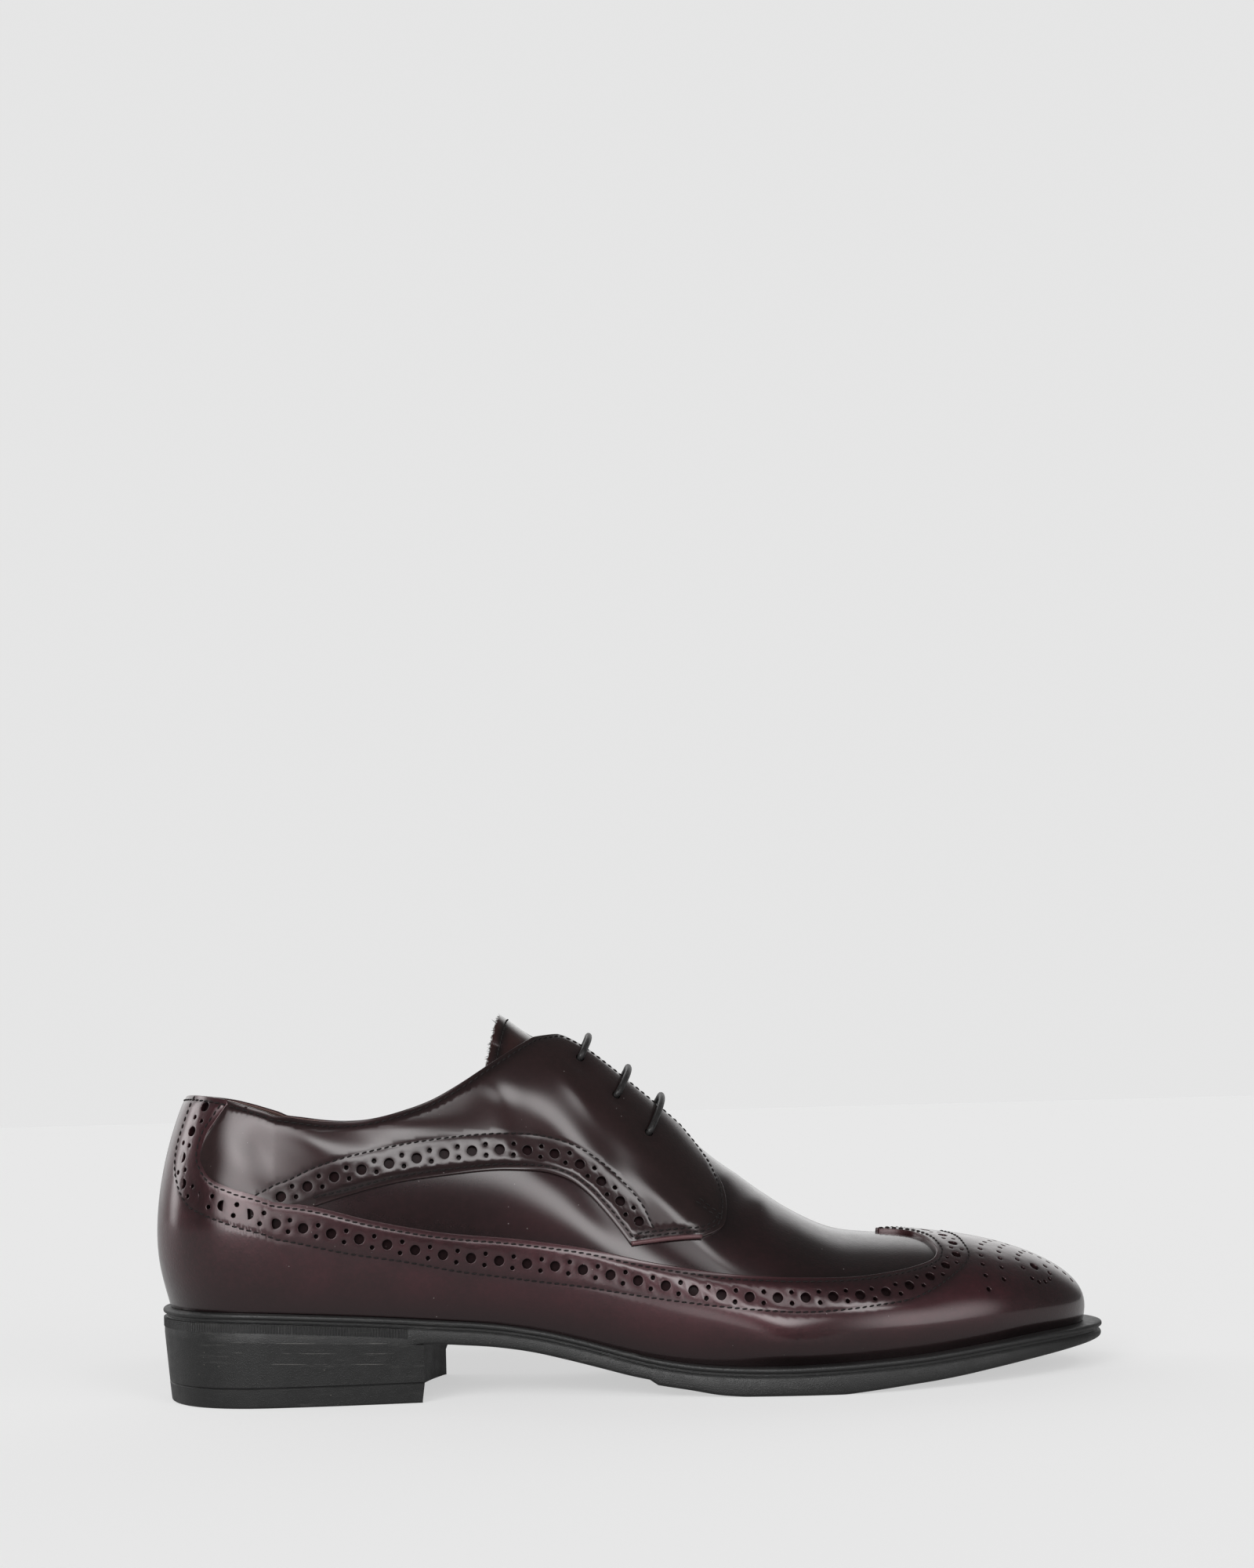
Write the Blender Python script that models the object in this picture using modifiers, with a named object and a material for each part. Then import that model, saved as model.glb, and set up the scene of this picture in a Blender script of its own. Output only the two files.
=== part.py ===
"""A longwing brogue derby, right shoe.

The shoe is built the way a shoemaker works. A last, the foot-shaped form, is worked out from
a few sizes and short tables. Every leather piece is a flat pattern that is laid over the last
at its own level, and the rubber sole follows the same plan outline.

Frame: +X runs from the heel's centre to the tip of the toe, -Y is the lateral side, +Z is up.
The origin is on the floor under the middle of the heel. Tables give lengths as shares of the
named sizes that they follow.
"""
import bpy
import bmesh
import numpy as np
from math import cos, pi, radians, sin
from mathutils import geometry

# Driving dimensions, metres
SHOE_LENGTH = 0.306
BALL_WIDTH = 0.104
HEEL_HEIGHT = 0.0290        # floor to the top of the welt at the seat
INSTEP_HEIGHT = 0.1125      # floor to the ridge of the last under the top of the facings
BACK_HEIGHT = 0.0945        # floor to the topline at the back of the heel
TREAD_STEP = 0.0012
TOP_LIFT = 0.0062
WALL = 0.0016               # vamp with its lining
QUARTER_LEATHER = 0.0011
WING_LEATHER = 0.0014
TONGUE_LEATHER = 0.0015
INSOLE_THICKNESS = 0.0025
LACE_DIAMETER = 0.0021
THROAT_GAP = 0.0130         # between the two facings, over the tongue
CLEARANCE = 0.0003
SEAM_GAP = 0.0008           # beside the wing, over the last
LAYER_GAP = 0.0004          # between two layers of leather
SLOPE_STEP = 0.0006         # reach over which the last's slope is measured

# Plan of the last
HEEL_TURN = 0.124 * SHOE_LENGTH         # where the round of the heel begins
TOE_TURN = 0.837 * SHOE_LENGTH          # where the round of the toe begins
HEEL_ROUND = 0.33 * BALL_WIDTH          # radius of each round
TOE_ROUND = 0.40 * BALL_WIDTH
ORIGIN_FROM_BACK = 0.137 * SHOE_LENGTH
RIDGE_SWAY = 0.029 * BALL_WIDTH         # how far the instep ridge leans to the medial side
UP_STEPS = 60
ROUND_STEPS = 640

# Plan of the sole: share of the length, then shares of the ball width on each side
SOLE_PLAN = (
    # along, lateral, medial
    (0.000, 0.000, 0.000),
    (0.010, 0.125, 0.125),
    (0.033, 0.226, 0.226),
    (0.072, 0.298, 0.298),
    (0.124, 0.327, 0.326),
    (0.180, 0.336, 0.327),
    (0.245, 0.337, 0.313),
    (0.327, 0.333, 0.281),
    (0.408, 0.355, 0.271),
    (0.490, 0.404, 0.298),
    (0.572, 0.462, 0.362),
    (0.637, 0.495, 0.425),
    (0.693, 0.505, 0.466),
    (0.745, 0.490, 0.476),
    (0.791, 0.457, 0.460),
    (0.837, 0.413, 0.427),
    (0.882, 0.360, 0.380),
    (0.925, 0.294, 0.317),
    (0.961, 0.216, 0.238),
    (0.985, 0.130, 0.145),
    (0.997, 0.055, 0.060),
    (1.000, 0.000, 0.000),
)

# Side view of the welt's top and the sole's underside: shares of the length and the heel height
WELT_PROFILE = (
    # along, height
    (0.000, 1.016), (0.100, 1.000), (0.163, 0.963), (0.229, 0.914), (0.284, 0.862),
    (0.343, 0.798), (0.392, 0.703), (0.425, 0.614), (0.458, 0.514), (0.490, 0.424),
    (0.529, 0.350), (0.572, 0.312), (0.621, 0.300), (0.670, 0.312), (0.719, 0.335),
    (0.768, 0.362), (0.810, 0.397), (0.850, 0.434), (0.889, 0.466), (0.931, 0.488),
    (0.971, 0.498), (1.000, 0.498),
)
SOLE_UNDERSIDE = (
    # along, height
    (0.294, 0.562), (0.343, 0.511), (0.376, 0.452), (0.408, 0.369), (0.441, 0.275),
    (0.474, 0.181), (0.500, 0.124), (0.530, 0.072), (0.558, 0.020), (0.582, 0.000),
    (0.680, 0.000), (0.706, 0.024), (0.745, 0.062), (0.778, 0.090), (0.810, 0.124),
    (0.843, 0.168), (0.882, 0.217), (0.915, 0.255), (0.948, 0.290), (0.980, 0.317),
    (1.000, 0.328),
)
SEAT_BACK_HEIGHT = 0.742    # underside of the sole over the heel, share of the heel height
SEAT_FRONT_HEIGHT = 0.603
TREAD_FROM = 0.490          # share of the length where the forefoot tread starts
TREAD_STEP_RUN = 0.008

# The ridge of the last over the instep and vamp: shares of the length and the instep height
RIDGE_PROFILE = (
    # along, height
    (0.124, 1.084), (0.200, 1.093), (0.260, 1.093), (0.310, 1.084), (0.353, 1.066),
    (0.390, 1.034), (0.420, 1.007), (0.438, 0.982), (0.471, 0.910), (0.503, 0.834),
    (0.536, 0.751), (0.569, 0.656), (0.605, 0.582), (0.637, 0.517), (0.671, 0.460),
    (0.705, 0.419), (0.739, 0.405), (0.791, 0.395), (0.837, 0.378),
)

# Sections of the last, from the back of the heel (station 0) by the end of the heel's round (1)
# and the start of the toe's round (2) to the tip of the toe (3)
LAST_SECTIONS = (
    # station, welt reach lateral, medial, bulge lateral, medial, bulge height, shoulder, flat
    (0.00, 0.040, 0.040, 0.036, 0.036, 0.190, 0.40, 0.56),
    (0.50, 0.038, 0.038, 0.032, 0.032, 0.190, 0.42, 0.57),
    (1.00, 0.036, 0.036, 0.026, 0.026, 0.185, 0.44, 0.58),
    (1.17, 0.034, 0.034, 0.026, 0.026, 0.175, 0.45, 0.54),
    (1.33, 0.034, 0.034, 0.028, 0.033, 0.155, 0.42, 0.54),
    (1.48, 0.038, 0.036, 0.028, 0.038, 0.130, 0.33, 0.43),
    (1.60, 0.048, 0.042, 0.026, 0.034, 0.110, 0.32, 0.44),
    (1.73, 0.058, 0.050, 0.024, 0.028, 0.092, 0.36, 0.50),
    (1.84, 0.062, 0.055, 0.022, 0.024, 0.080, 0.44, 0.56),
    (2.00, 0.064, 0.060, 0.018, 0.019, 0.066, 0.52, 0.60),
    (2.40, 0.070, 0.068, 0.013, 0.013, 0.056, 0.52, 0.55),
    (2.75, 0.075, 0.074, 0.009, 0.009, 0.050, 0.48, 0.50),
    (3.00, 0.077, 0.077, 0.006, 0.006, 0.046, 0.45, 0.48),
)
TOE_RIDGE_SLOPE = 0.15

# Lines drawn on the last. The topline is a height above the floor, as a share of BACK_HEIGHT
TOPLINE = (
    # station, height
    (0.00, 1.003), (0.35, 1.003), (0.60, 0.990), (0.85, 0.960), (0.96, 0.942), (1.02, 0.926),
    (1.06, 0.912), (1.10, 0.908), (1.14, 0.916), (1.18, 0.938), (1.22, 0.970), (1.26, 1.019),
    (1.30, 1.076), (1.34, 1.134), (1.37, 1.172),
)
# The other lines are a station and a share of the girth, from the welt (0) to the ridge (1)
WING_EDGE = (
    # station, share
    (0.66, 0.600), (0.60, 0.555), (0.54, 0.500), (0.53, 0.450), (0.58, 0.405), (0.76, 0.355),
    (0.92, 0.333), (1.05, 0.305), (1.13, 0.267), (1.25, 0.238), (1.37, 0.246), (1.48, 0.272),
    (1.60, 0.309), (1.73, 0.348), (1.82, 0.385), (1.89, 0.432), (1.925, 0.480), (1.945, 0.570),
    (1.947, 0.680), (1.940, 0.820), (1.920, 0.930), (1.885, 1.000),
)
FRONT_EDGE = (
    # station, share
    (1.600, 0.900), (1.618, 0.845), (1.630, 0.760), (1.636, 0.660), (1.633, 0.570),
    (1.626, 0.510), (1.612, 0.470),
)
BAND_END = (
    # station, share
    (1.594, 0.433), (1.542, 0.377), (1.494, 0.323),
)
BAND_EDGE = (
    # station, share
    (1.494, 0.323), (1.478, 0.358), (1.458, 0.395), (1.436, 0.427), (1.412, 0.447),
    (1.385, 0.452), (1.338, 0.438), (1.250, 0.407), (1.162, 0.373), (1.100, 0.338),
    (1.060, 0.319),
)
FACING_TOP = 1.418          # station of the top corner of the lacing edge
FACING_FOOT = 1.585
THROAT_FOOT = 1.560         # where the slit over the tongue ends
CORNER = 0.055 * BALL_WIDTH  # rounding of the top corner of the facing
TONGUE_TOP = 1.3275
TONGUE_FOOT = 1.640
TONGUE_HALF_WIDTH = 0.29 * BALL_WIDTH
TONGUE_SPRING = 0.0017      # how far the top of the tongue stands off the last
SPRING_HALF_WIDTH = 0.19 * BALL_WIDTH
TONGUE_EDGE = (
    # along, across: shares of the tongue's length and half width, from the ridge at its top
    (0.000, 0.00), (-0.029, 0.40), (-0.055, 0.68), (-0.075, 0.90), (-0.065, 0.97), (0.000, 1.00),
    (0.850, 1.00), (0.955, 0.80), (1.000, 0.50), (1.000, 0.00),
)
TONGUE_RISE = (
    # along, rise off the last: shares of the tongue's length and spring
    (-0.075, 1.50), (0.000, 1.00), (0.056, 0.20), (0.104, -0.50), (0.184, -1.35),
    (0.264, -1.35), (0.392, -0.80), (0.552, -0.45), (1.000, -0.20),
)
EYELETS = (
    # station, share, station where the bar crosses the ridge
    (1.436, 0.860, 1.448), (1.486, 0.803, 1.505), (1.530, 0.735, 1.553),
)

# Welt and heel
WELT_RIM = 0.0018           # depth of the rounded rim over the groove
WELT_GROOVE = 0.0011        # how deep the groove is cut in
GROOVE_TURN = 0.0003        # height of the slope into the groove
GROOVE_HEIGHT = 0.0008
GROOVE_FADE = 0.0010        # height over which the side wall comes out again
RIM_ROUND = 0.0006
SIDE_TAPER = 0.0003
EDGE_ROUND = 0.0010
HEEL_TAPER = 0.0012
HEEL_BLANK = 0.330          # length of the heel before its breast is cut, share of the length
WING_LIFT = 0.0009          # how far up the leather the wing clears the welt
BREAST_LATERAL = 0.268      # front of the heel on each side, shares of the length
BREAST_MEDIAL = 0.297
SEAT_LATERAL = 0.335        # and half widths there, shares of the ball width
SEAT_MEDIAL = 0.310
BREAST_RADIUS = 0.085

# Spacing of the mesh: along the shoe, up its sides, along cut edges and along the welt
MESH_ALONG = 0.0105
MESH_UP = 0.0057
MESH_EDGE = 0.0040
MESH_WELT = 0.0075
WELT_ROWS = (0.0032, 0.0070, 0.0112)    # rows of the mesh over the turn above the welt
COLOURS = {
    # name: base colour, roughness
    'leather': ((0.040, 0.012, 0.015, 1.0), 0.22),
    'lining': ((0.070, 0.045, 0.040, 1.0), 0.60),
    'rubber': ((0.012, 0.012, 0.013, 1.0), 0.50),
    'lace': ((0.012, 0.011, 0.011, 1.0), 0.60),
}


def curve_through(rows, at):
    """Smooth curve through (place, value) rows, read at the given places."""
    place, value = np.array(rows, float).T
    slope = np.gradient(value, place)
    at = np.clip(at, place[0], place[-1])
    cell = np.clip(np.searchsorted(place, at, side='right') - 1, 0, len(place) - 2)
    width = place[cell + 1] - place[cell]
    t = (at - place[cell]) / width
    start = value[cell] * (1 + 2 * t) * (1 - t) ** 2 + slope[cell] * width * t * (1 - t) ** 2
    end = value[cell + 1] * t * t * (3 - 2 * t) + slope[cell + 1] * width * t * t * (t - 1)
    return start + end


def line_through(points, count, closed=False):
    """Evenly spaced points along a smooth line through a few plane points."""
    points = np.array(points, float)
    if closed:
        points = np.vstack([points[-3:], points, points[:4]])
    chord = np.hypot(*np.diff(points, axis=0).T)
    run = np.concatenate([[0], np.cumsum(np.maximum(chord, 1e-9))])
    ends = (run[3], run[-4]) if closed else (run[0], run[-1])
    dense = np.linspace(*ends, 40 * len(points))
    track = np.stack([curve_through(np.stack([run, axis], 1), dense) for axis in points.T], 1)
    length = np.concatenate([[0], np.cumsum(np.hypot(*np.diff(track, axis=0).T))])
    even = np.linspace(0, length[-1], count + 1 if closed else count)
    line = np.stack([np.interp(even, length, axis) for axis in track.T], 1)
    return line[:-1] if closed else line


def welt_height(x):
    """Top of the welt above the floor, at a distance from the back of the sole."""
    return HEEL_HEIGHT * curve_through(WELT_PROFILE, x / SHOE_LENGTH)


def seat_height(x):
    """The slope on which the heel meets the sole."""
    share = np.asarray(x) / SHOE_LENGTH / SOLE_UNDERSIDE[0][0]
    return HEEL_HEIGHT * (SEAT_BACK_HEIGHT + (SEAT_FRONT_HEIGHT - SEAT_BACK_HEIGHT) * share)


def underside_height(x):
    """Underside of the sole above the floor: the seat, then the arch, then the tread's step."""
    share = np.asarray(x) / SHOE_LENGTH
    before_tread = np.clip((TREAD_FROM - share) / TREAD_STEP_RUN + 1, 0, 1)
    arch = HEEL_HEIGHT * np.maximum(curve_through(SOLE_UNDERSIDE, share), 0)
    arch += TREAD_STEP * before_tread
    return np.where(share < SOLE_UNDERSIDE[0][0], seat_height(x), arch)


def spine_sway(x):
    """Sideways lean of the ridge, nothing at either end of the straight stretch."""
    share = np.clip((x - HEEL_TURN) / (TOE_TURN - HEEL_TURN), 0, 1)
    return RIDGE_SWAY * np.sin(pi * share) ** 2


class Last:
    """The foot-shaped form, as a grid of points: sections round the shoe, steps up each section.

    A flat point (x, y) lies on it like paper: x runs along the ridge, y is the distance from the
    ridge over the surface, and both round ends are laid out like fans.
    """

    def __init__(self):
        self.heel_run = pi / 2 * HEEL_ROUND
        self.side_run = TOE_TURN - HEEL_TURN
        self.toe_run = pi / 2 * TOE_ROUND
        self.half = self.heel_run + self.side_run + self.toe_run
        self.turns = np.cumsum([0, self.heel_run, self.side_run, self.toe_run])
        count = ROUND_STEPS // 2
        self.step = self.half / count
        run = np.arange(ROUND_STEPS) * self.step
        lateral = run <= self.half + 1e-9
        run = np.where(lateral, run, 2 * self.half - run)
        self.station = np.interp(run, self.turns, (0, 1, 2, 3))
        self.side = np.where(lateral, -1.0, 1.0)
        self.spine, self.outward = self.section_frames(self.station, self.side)
        self.sole_reach = self.plan_reach()
        self.build_grid()

    @staticmethod
    def section_frames(station, side):
        """Spine point and outward plan direction of the section at each station."""
        heel = np.clip(station, 0, 1) * pi / 2
        toe = np.clip(station - 2, 0, 1) * pi / 2
        x = HEEL_TURN + np.clip(station - 1, 0, 1) * (TOE_TURN - HEEL_TURN)
        along = np.where(station < 1, -np.cos(heel), np.sin(toe))
        across = np.where(station < 1, np.sin(heel), np.cos(toe))
        return np.stack([x, spine_sway(x)], -1), np.stack([along, side * across], -1)

    def plan_reach(self):
        """Distance from the spine to the edge of the sole in each section plane."""
        plan = [(x * SHOE_LENGTH, -a * BALL_WIDTH) for x, a, _ in SOLE_PLAN]
        plan += [(x * SHOE_LENGTH, b * BALL_WIDTH) for x, _, b in SOLE_PLAN[-2:0:-1]]
        edge = line_through(plan, 4000, closed=True)
        x = np.clip(edge[:, 0], HEEL_TURN, TOE_TURN)
        away = edge - np.stack([x, spine_sway(x)], 1)
        distance = np.hypot(*away.T)
        turn = np.degrees(np.arctan2(away[:, 0], np.abs(away[:, 1])))
        middle = 1 + (x - HEEL_TURN) / (TOE_TURN - HEEL_TURN)
        station = np.where(edge[:, 0] < HEEL_TURN, 1 + turn / 90, middle)
        station = np.where(edge[:, 0] > TOE_TURN, 2 + turn / 90, station)
        reach = np.empty(ROUND_STEPS)
        for side in (-1, 1):
            mine = away[:, 1] * side >= 0
            order = np.argsort(station[mine])
            here = self.side == side
            reach[here] = np.interp(self.station[here], station[mine][order], distance[mine][order])
        return self.fair(reach, 6)

    @staticmethod
    def fair(values, passes):
        """Even out a row of values that runs once round the shoe."""
        for _ in range(passes * 8):
            values = (np.roll(values, 1, 0) + 2 * values + np.roll(values, -1, 0)) / 4
        return values

    def column(self, lateral, medial):
        """One column of LAST_SECTIONS read all round, its lateral and its medial value."""
        rows = np.array(LAST_SECTIONS)
        left = curve_through(rows[:, (0, lateral)], self.station)
        right = curve_through(rows[:, (0, medial)], self.station)
        return self.fair(np.where(self.side < 0, left, right), 4)

    def build_grid(self):
        """Points of every section, from the welt up over the widest line to the ridge."""
        feather = self.sole_reach - BALL_WIDTH * self.column(1, 2)
        widest = feather + BALL_WIDTH * self.column(3, 4)
        foot = welt_height(self.spine[:, 0] + self.outward[:, 0] * feather) + CLEARANCE
        foot = self.fair(foot, 2)
        belly = foot + INSTEP_HEIGHT * self.column(5, 5)
        top = INSTEP_HEIGHT * curve_through(RIDGE_PROFILE, self.spine[:, 0] / SHOE_LENGTH)
        top = self.fair(top, 2)
        shoulder, flat = self.column(6, 6), self.column(7, 7)
        forward = np.where(self.station > 2, self.outward[:, 0], 0)
        inner = flat * widest
        slope = TOE_RIDGE_SLOPE * forward * inner
        low = [(feather, foot), (feather + 0.4 * (widest - feather), foot + 0.3 * (belly - foot)),
               (widest, belly - 0.45 * (belly - foot)), (widest, belly)]
        high = [(widest, belly), (widest, belly + shoulder * (top - belly)),
                (inner, top - slope), (np.zeros_like(top), top)]
        t = np.linspace(0, 1, 80)[:, None]
        weights = np.hstack([(1 - t) ** 3, 3 * t * (1 - t) ** 2, 3 * t * t * (1 - t), t ** 3])
        section = [np.vstack([weights @ np.array([p[axis] for p in part]) for part in (low, high)])
                   for axis in (0, 1)]
        out, up = (np.delete(axis, 80, 0).T for axis in section)
        length = np.concatenate([np.zeros((ROUND_STEPS, 1)),
                                 np.cumsum(np.hypot(np.diff(out), np.diff(up)), 1)], 1)
        self.girth = length[:, -1]
        share = np.linspace(0, 1, UP_STEPS + 1)
        even = np.empty((2, ROUND_STEPS, UP_STEPS + 1))
        for i in range(ROUND_STEPS):
            for axis, values in enumerate((out, up)):
                even[axis, i] = np.interp(share * self.girth[i], length[i], values[i])
        plan = self.spine[:, None] + self.outward[:, None] * even[0][..., None]
        grid = np.concatenate([plan, even[1][..., None]], 2)
        for _ in range(6):
            mirror = 2 * grid[:, -1:] - grid[:, -2:-1]
            longer = np.concatenate([2 * grid[:, :1] - grid[:, 1:2], grid, mirror], 1)
            grid = (longer[:, :-2] + 2 * grid + longer[:, 2:]) / 4
        self.grid = grid

    def lookup(self, station, side, share):
        """Point of the last at a station and at a share of the girth, the welt being 0."""
        run = np.interp(station, (0, 1, 2, 3), self.turns)
        place = np.where(side < 0, run, 2 * self.half - run) / self.step
        i = np.floor(place).astype(int)
        j = np.clip(np.floor(share * UP_STEPS).astype(int), 0, UP_STEPS - 1)
        a = (place - i)[..., None]
        b = (share * UP_STEPS - j)[..., None]
        i, k = i % ROUND_STEPS, (i + 1) % ROUND_STEPS
        near = self.grid[i, j] * (1 - b) + self.grid[i, j + 1] * b
        far = self.grid[k, j] * (1 - b) + self.grid[k, j + 1] * b
        return near * (1 - a) + far * a

    def girth_at(self, station, side):
        """Length over the last from the welt to the ridge at a station."""
        run = np.interp(station, (0, 1, 2, 3), self.turns)
        place = np.where(side < 0, run, 2 * self.half - run) / self.step
        return np.interp(place, np.arange(ROUND_STEPS + 1), np.append(self.girth, self.girth[0]))

    def place(self, x, y):
        """Station, side and distance from the ridge of flat pattern points."""
        side = np.where(y < 0, -1.0, 1.0)
        past = np.where(x < HEEL_TURN, x - HEEL_TURN, np.maximum(x - TOE_TURN, 0))
        turn = np.degrees(np.arctan2(past, np.abs(y))) / 90
        middle = 1 + (np.clip(x, HEEL_TURN, TOE_TURN) - HEEL_TURN) / self.side_run
        station = np.where(past == 0, middle, np.where(past < 0, 1 + turn, 2 + turn))
        return station, side, np.hypot(past, y)

    def surface(self, flat):
        """Points of the last under flat pattern points."""
        station, side, away = self.place(*np.asarray(flat, float).T)
        return self.lookup(station, side, 1 - away / self.girth_at(station, side))

    def over(self, flat, level=0.0):
        """Points that lie over the last at a level, under flat pattern points."""
        flat = np.asarray(flat, float)
        h = SLOPE_STEP
        along = self.surface(flat + (h, 0)) - self.surface(flat - (h, 0))
        across = self.surface(flat + (0, h)) - self.surface(flat - (0, h))
        normal = np.cross(along, across)
        normal /= np.linalg.norm(normal, axis=1)[:, None]
        return self.surface(flat) + normal * np.reshape(level, (-1, 1))

    def flat(self, station, side, share):
        """Flat pattern point of a station and a share of the girth."""
        station, side, share = np.broadcast_arrays(station, side, share)
        spine, outward = self.section_frames(station, side)
        away = self.girth_at(station, side) * (1 - share)
        return np.stack([spine[..., 0] + outward[..., 0] * away, outward[..., 1] * away], -1)

    def height_over_welt(self, flat):
        """Length over the last from the welt up to flat points."""
        x, y = flat.T
        station, side, away = self.place(x, y)
        return self.girth_at(station, side) - away

    def share_at_height(self, station, side, height):
        """Share of the girth at which a section reaches a height."""
        share = np.linspace(0, 1, 201)
        grid = np.meshgrid(station, share, indexing='ij')
        rise = self.lookup(grid[0], np.full_like(grid[0], side), grid[1])[..., 2]
        return np.array([np.interp(height[i], rise[i], share) for i in range(len(station))])


def line_on(last, rows, side, count):
    """A drawn line of (station, share) rows as flat pattern points."""
    station, share = line_through(rows, count).T
    return last.flat(station, side, share)


def topline(last, side, start=0.0, count=48):
    """The collar's edge on one side, from a station near the heel up to the facing."""
    station = np.linspace(start, TOPLINE[-1][0], count)
    height = BACK_HEIGHT * curve_through(TOPLINE, station)
    return last.flat(station, side, last.share_at_height(station, side, height))


def ridge_x(station):
    """Distance from the back of the shoe of a station on the straight stretch."""
    return HEEL_TURN + (station - 1) * (TOE_TURN - HEEL_TURN)


def facing(side, foot):
    """The lacing edge beside the tongue, from its rounded top corner down to a station."""
    half = THROAT_GAP / 2
    top = ridge_x(FACING_TOP)
    corner = [(top - CORNER, side * (half + 0.6 * CORNER)),
              (top - 0.4 * CORNER, side * (half + 0.1 * CORNER))]
    edge = [(x, side * half) for x in np.linspace(top, ridge_x(foot), 8)]
    return np.array(corner + edge)


def welt_line(last, rise=0.0):
    """Flat points all round the shoe, at a rise over the leather from its lower edge."""
    run = np.linspace(0, last.half, round(last.half / MESH_WELT) + 1)
    station = np.interp(run, last.turns, (0, 1, 2, 3))
    lateral = last.flat(station, -1, rise / last.girth_at(station, -1))
    medial = last.flat(station, 1, rise / last.girth_at(station, 1))
    return np.vstack([lateral, medial[-2:0:-1]])


def collar_and_throat(last):
    """The one opening of the upper: the collar, running on into the slit over the tongue."""
    lateral = np.vstack([topline(last, -1), facing(-1, THROAT_FOOT)])
    medial = np.vstack([topline(last, 1), facing(1, THROAT_FOOT)])
    foot = [(ridge_x(THROAT_FOOT) + 0.3 * THROAT_GAP, 0.0)]
    return np.vstack([lateral, foot, medial[:0:-1]])


def wing_inner_edge(last):
    """The wing's upper edge: along the topline at the heel, and up to a peak at the toe."""
    lateral = line_on(last, WING_EDGE, -1, 150)
    medial = line_on(last, WING_EDGE, 1, 150)
    heel = {side: topline(last, side) for side in (-1, 1)}
    for side in (-1, 1):
        station = np.linspace(0, WING_EDGE[0][0], 12)[:-1]
        height = BACK_HEIGHT * curve_through(TOPLINE, station)
        heel[side] = last.flat(station, side, last.share_at_height(station, side, height))
    return np.vstack([heel[-1], lateral, medial[-2::-1], heel[1][:0:-1]])


def quarter_outline(last, side):
    """One lacing panel: topline, facing, front edge, the curved band and the wing's edge."""
    top = topline(last, side, WING_EDGE[0][0] + SEAM_GAP / last.heel_run)
    front = line_on(last, FRONT_EDGE, side, 24)
    end = line_on(last, BAND_END, side, 14)
    band = line_on(last, BAND_EDGE, side, 60)
    rows = line_through(WING_EDGE, 400)
    met = np.argmin(np.abs(rows[:, 0] - BAND_EDGE[-1][0]) + (rows[:, 0] < 0.7) * 9)
    gap = SEAM_GAP / last.girth_at(rows[:met, 0], side)
    wing = last.flat(rows[:met, 0] + SEAM_GAP / last.heel_run, side, rows[:met, 1] + gap)
    return np.vstack([top, facing(side, FACING_FOOT), front, end, band[1:-1], wing[::-6]])


def tongue_outline():
    """The tongue: a strip along the ridge, its top cut back towards both sides."""
    top = ridge_x(TONGUE_TOP)
    length = ridge_x(TONGUE_FOOT) - top
    half = [(top + along * length, -across * TONGUE_HALF_WIDTH) for along, across in TONGUE_EDGE]
    return np.array(half + [(x, -y) for x, y in half[-2:0:-1]])


def tongue_level(flat):
    """The tongue lies under the upper, and its middle springs up at the top."""
    top = ridge_x(TONGUE_TOP)
    along = (flat[:, 0] - top) / (ridge_x(TONGUE_FOOT) - top)
    middle = np.maximum(1 - (flat[:, 1] / SPRING_HALF_WIDTH) ** 2, 0)
    return TONGUE_SPRING * curve_through(TONGUE_RISE, along) * middle - WALL - LAYER_GAP


def inside(points, loops):
    """Which flat points lie within the loops, holes being loops inside loops."""
    hit = np.zeros(len(points), bool)
    x, y = points.T
    for loop in loops:
        for (x0, y0), (x1, y1) in zip(loop, np.roll(loop, -1, 0)):
            if y0 != y1:
                spans = (y0 > y) != (y1 > y)
                hit ^= spans & (x < x0 + (y - y0) * (x1 - x0) / (y1 - y0))
    return hit


def thin_out(last, loop):
    """Keep a loop's corners, and points between them at an even spacing over the last."""
    solid = last.surface(loop)
    ahead, back = np.roll(solid, -1, 0) - solid, solid - np.roll(solid, 1, 0)
    lengths = np.linalg.norm(ahead, axis=1)
    cosine = (ahead * back).sum(1) / np.maximum(lengths * np.linalg.norm(back, axis=1), 1e-12)
    corners = np.flatnonzero(cosine < cos(radians(28)))
    if not len(corners):
        corners = np.array([0])
    loop, lengths = np.roll(loop, -corners[0], 0), np.roll(lengths, -corners[0])
    corners = np.append(corners - corners[0], len(loop))
    run = np.concatenate([[0], np.cumsum(lengths)])
    closed = np.vstack([loop, loop[:1]])
    kept = []
    for start, end in zip(corners[:-1], corners[1:]):
        count = max(1, round((run[end] - run[start]) / MESH_EDGE))
        for place in np.linspace(run[start], run[end], count + 1)[:-1]:
            kept.append([np.interp(place, run, axis) for axis in closed.T])
    return np.array(kept)


def lattice(last):
    """Flat points spread over the whole last: rows along the welt, and an even field above."""
    field = even_field(last)
    up = last.height_over_welt(field)
    rows = [welt_line(last, rise) for rise in WELT_ROWS]
    return np.vstack([field[up > WELT_ROWS[-1] + 0.6 * MESH_UP]] + rows)


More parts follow.
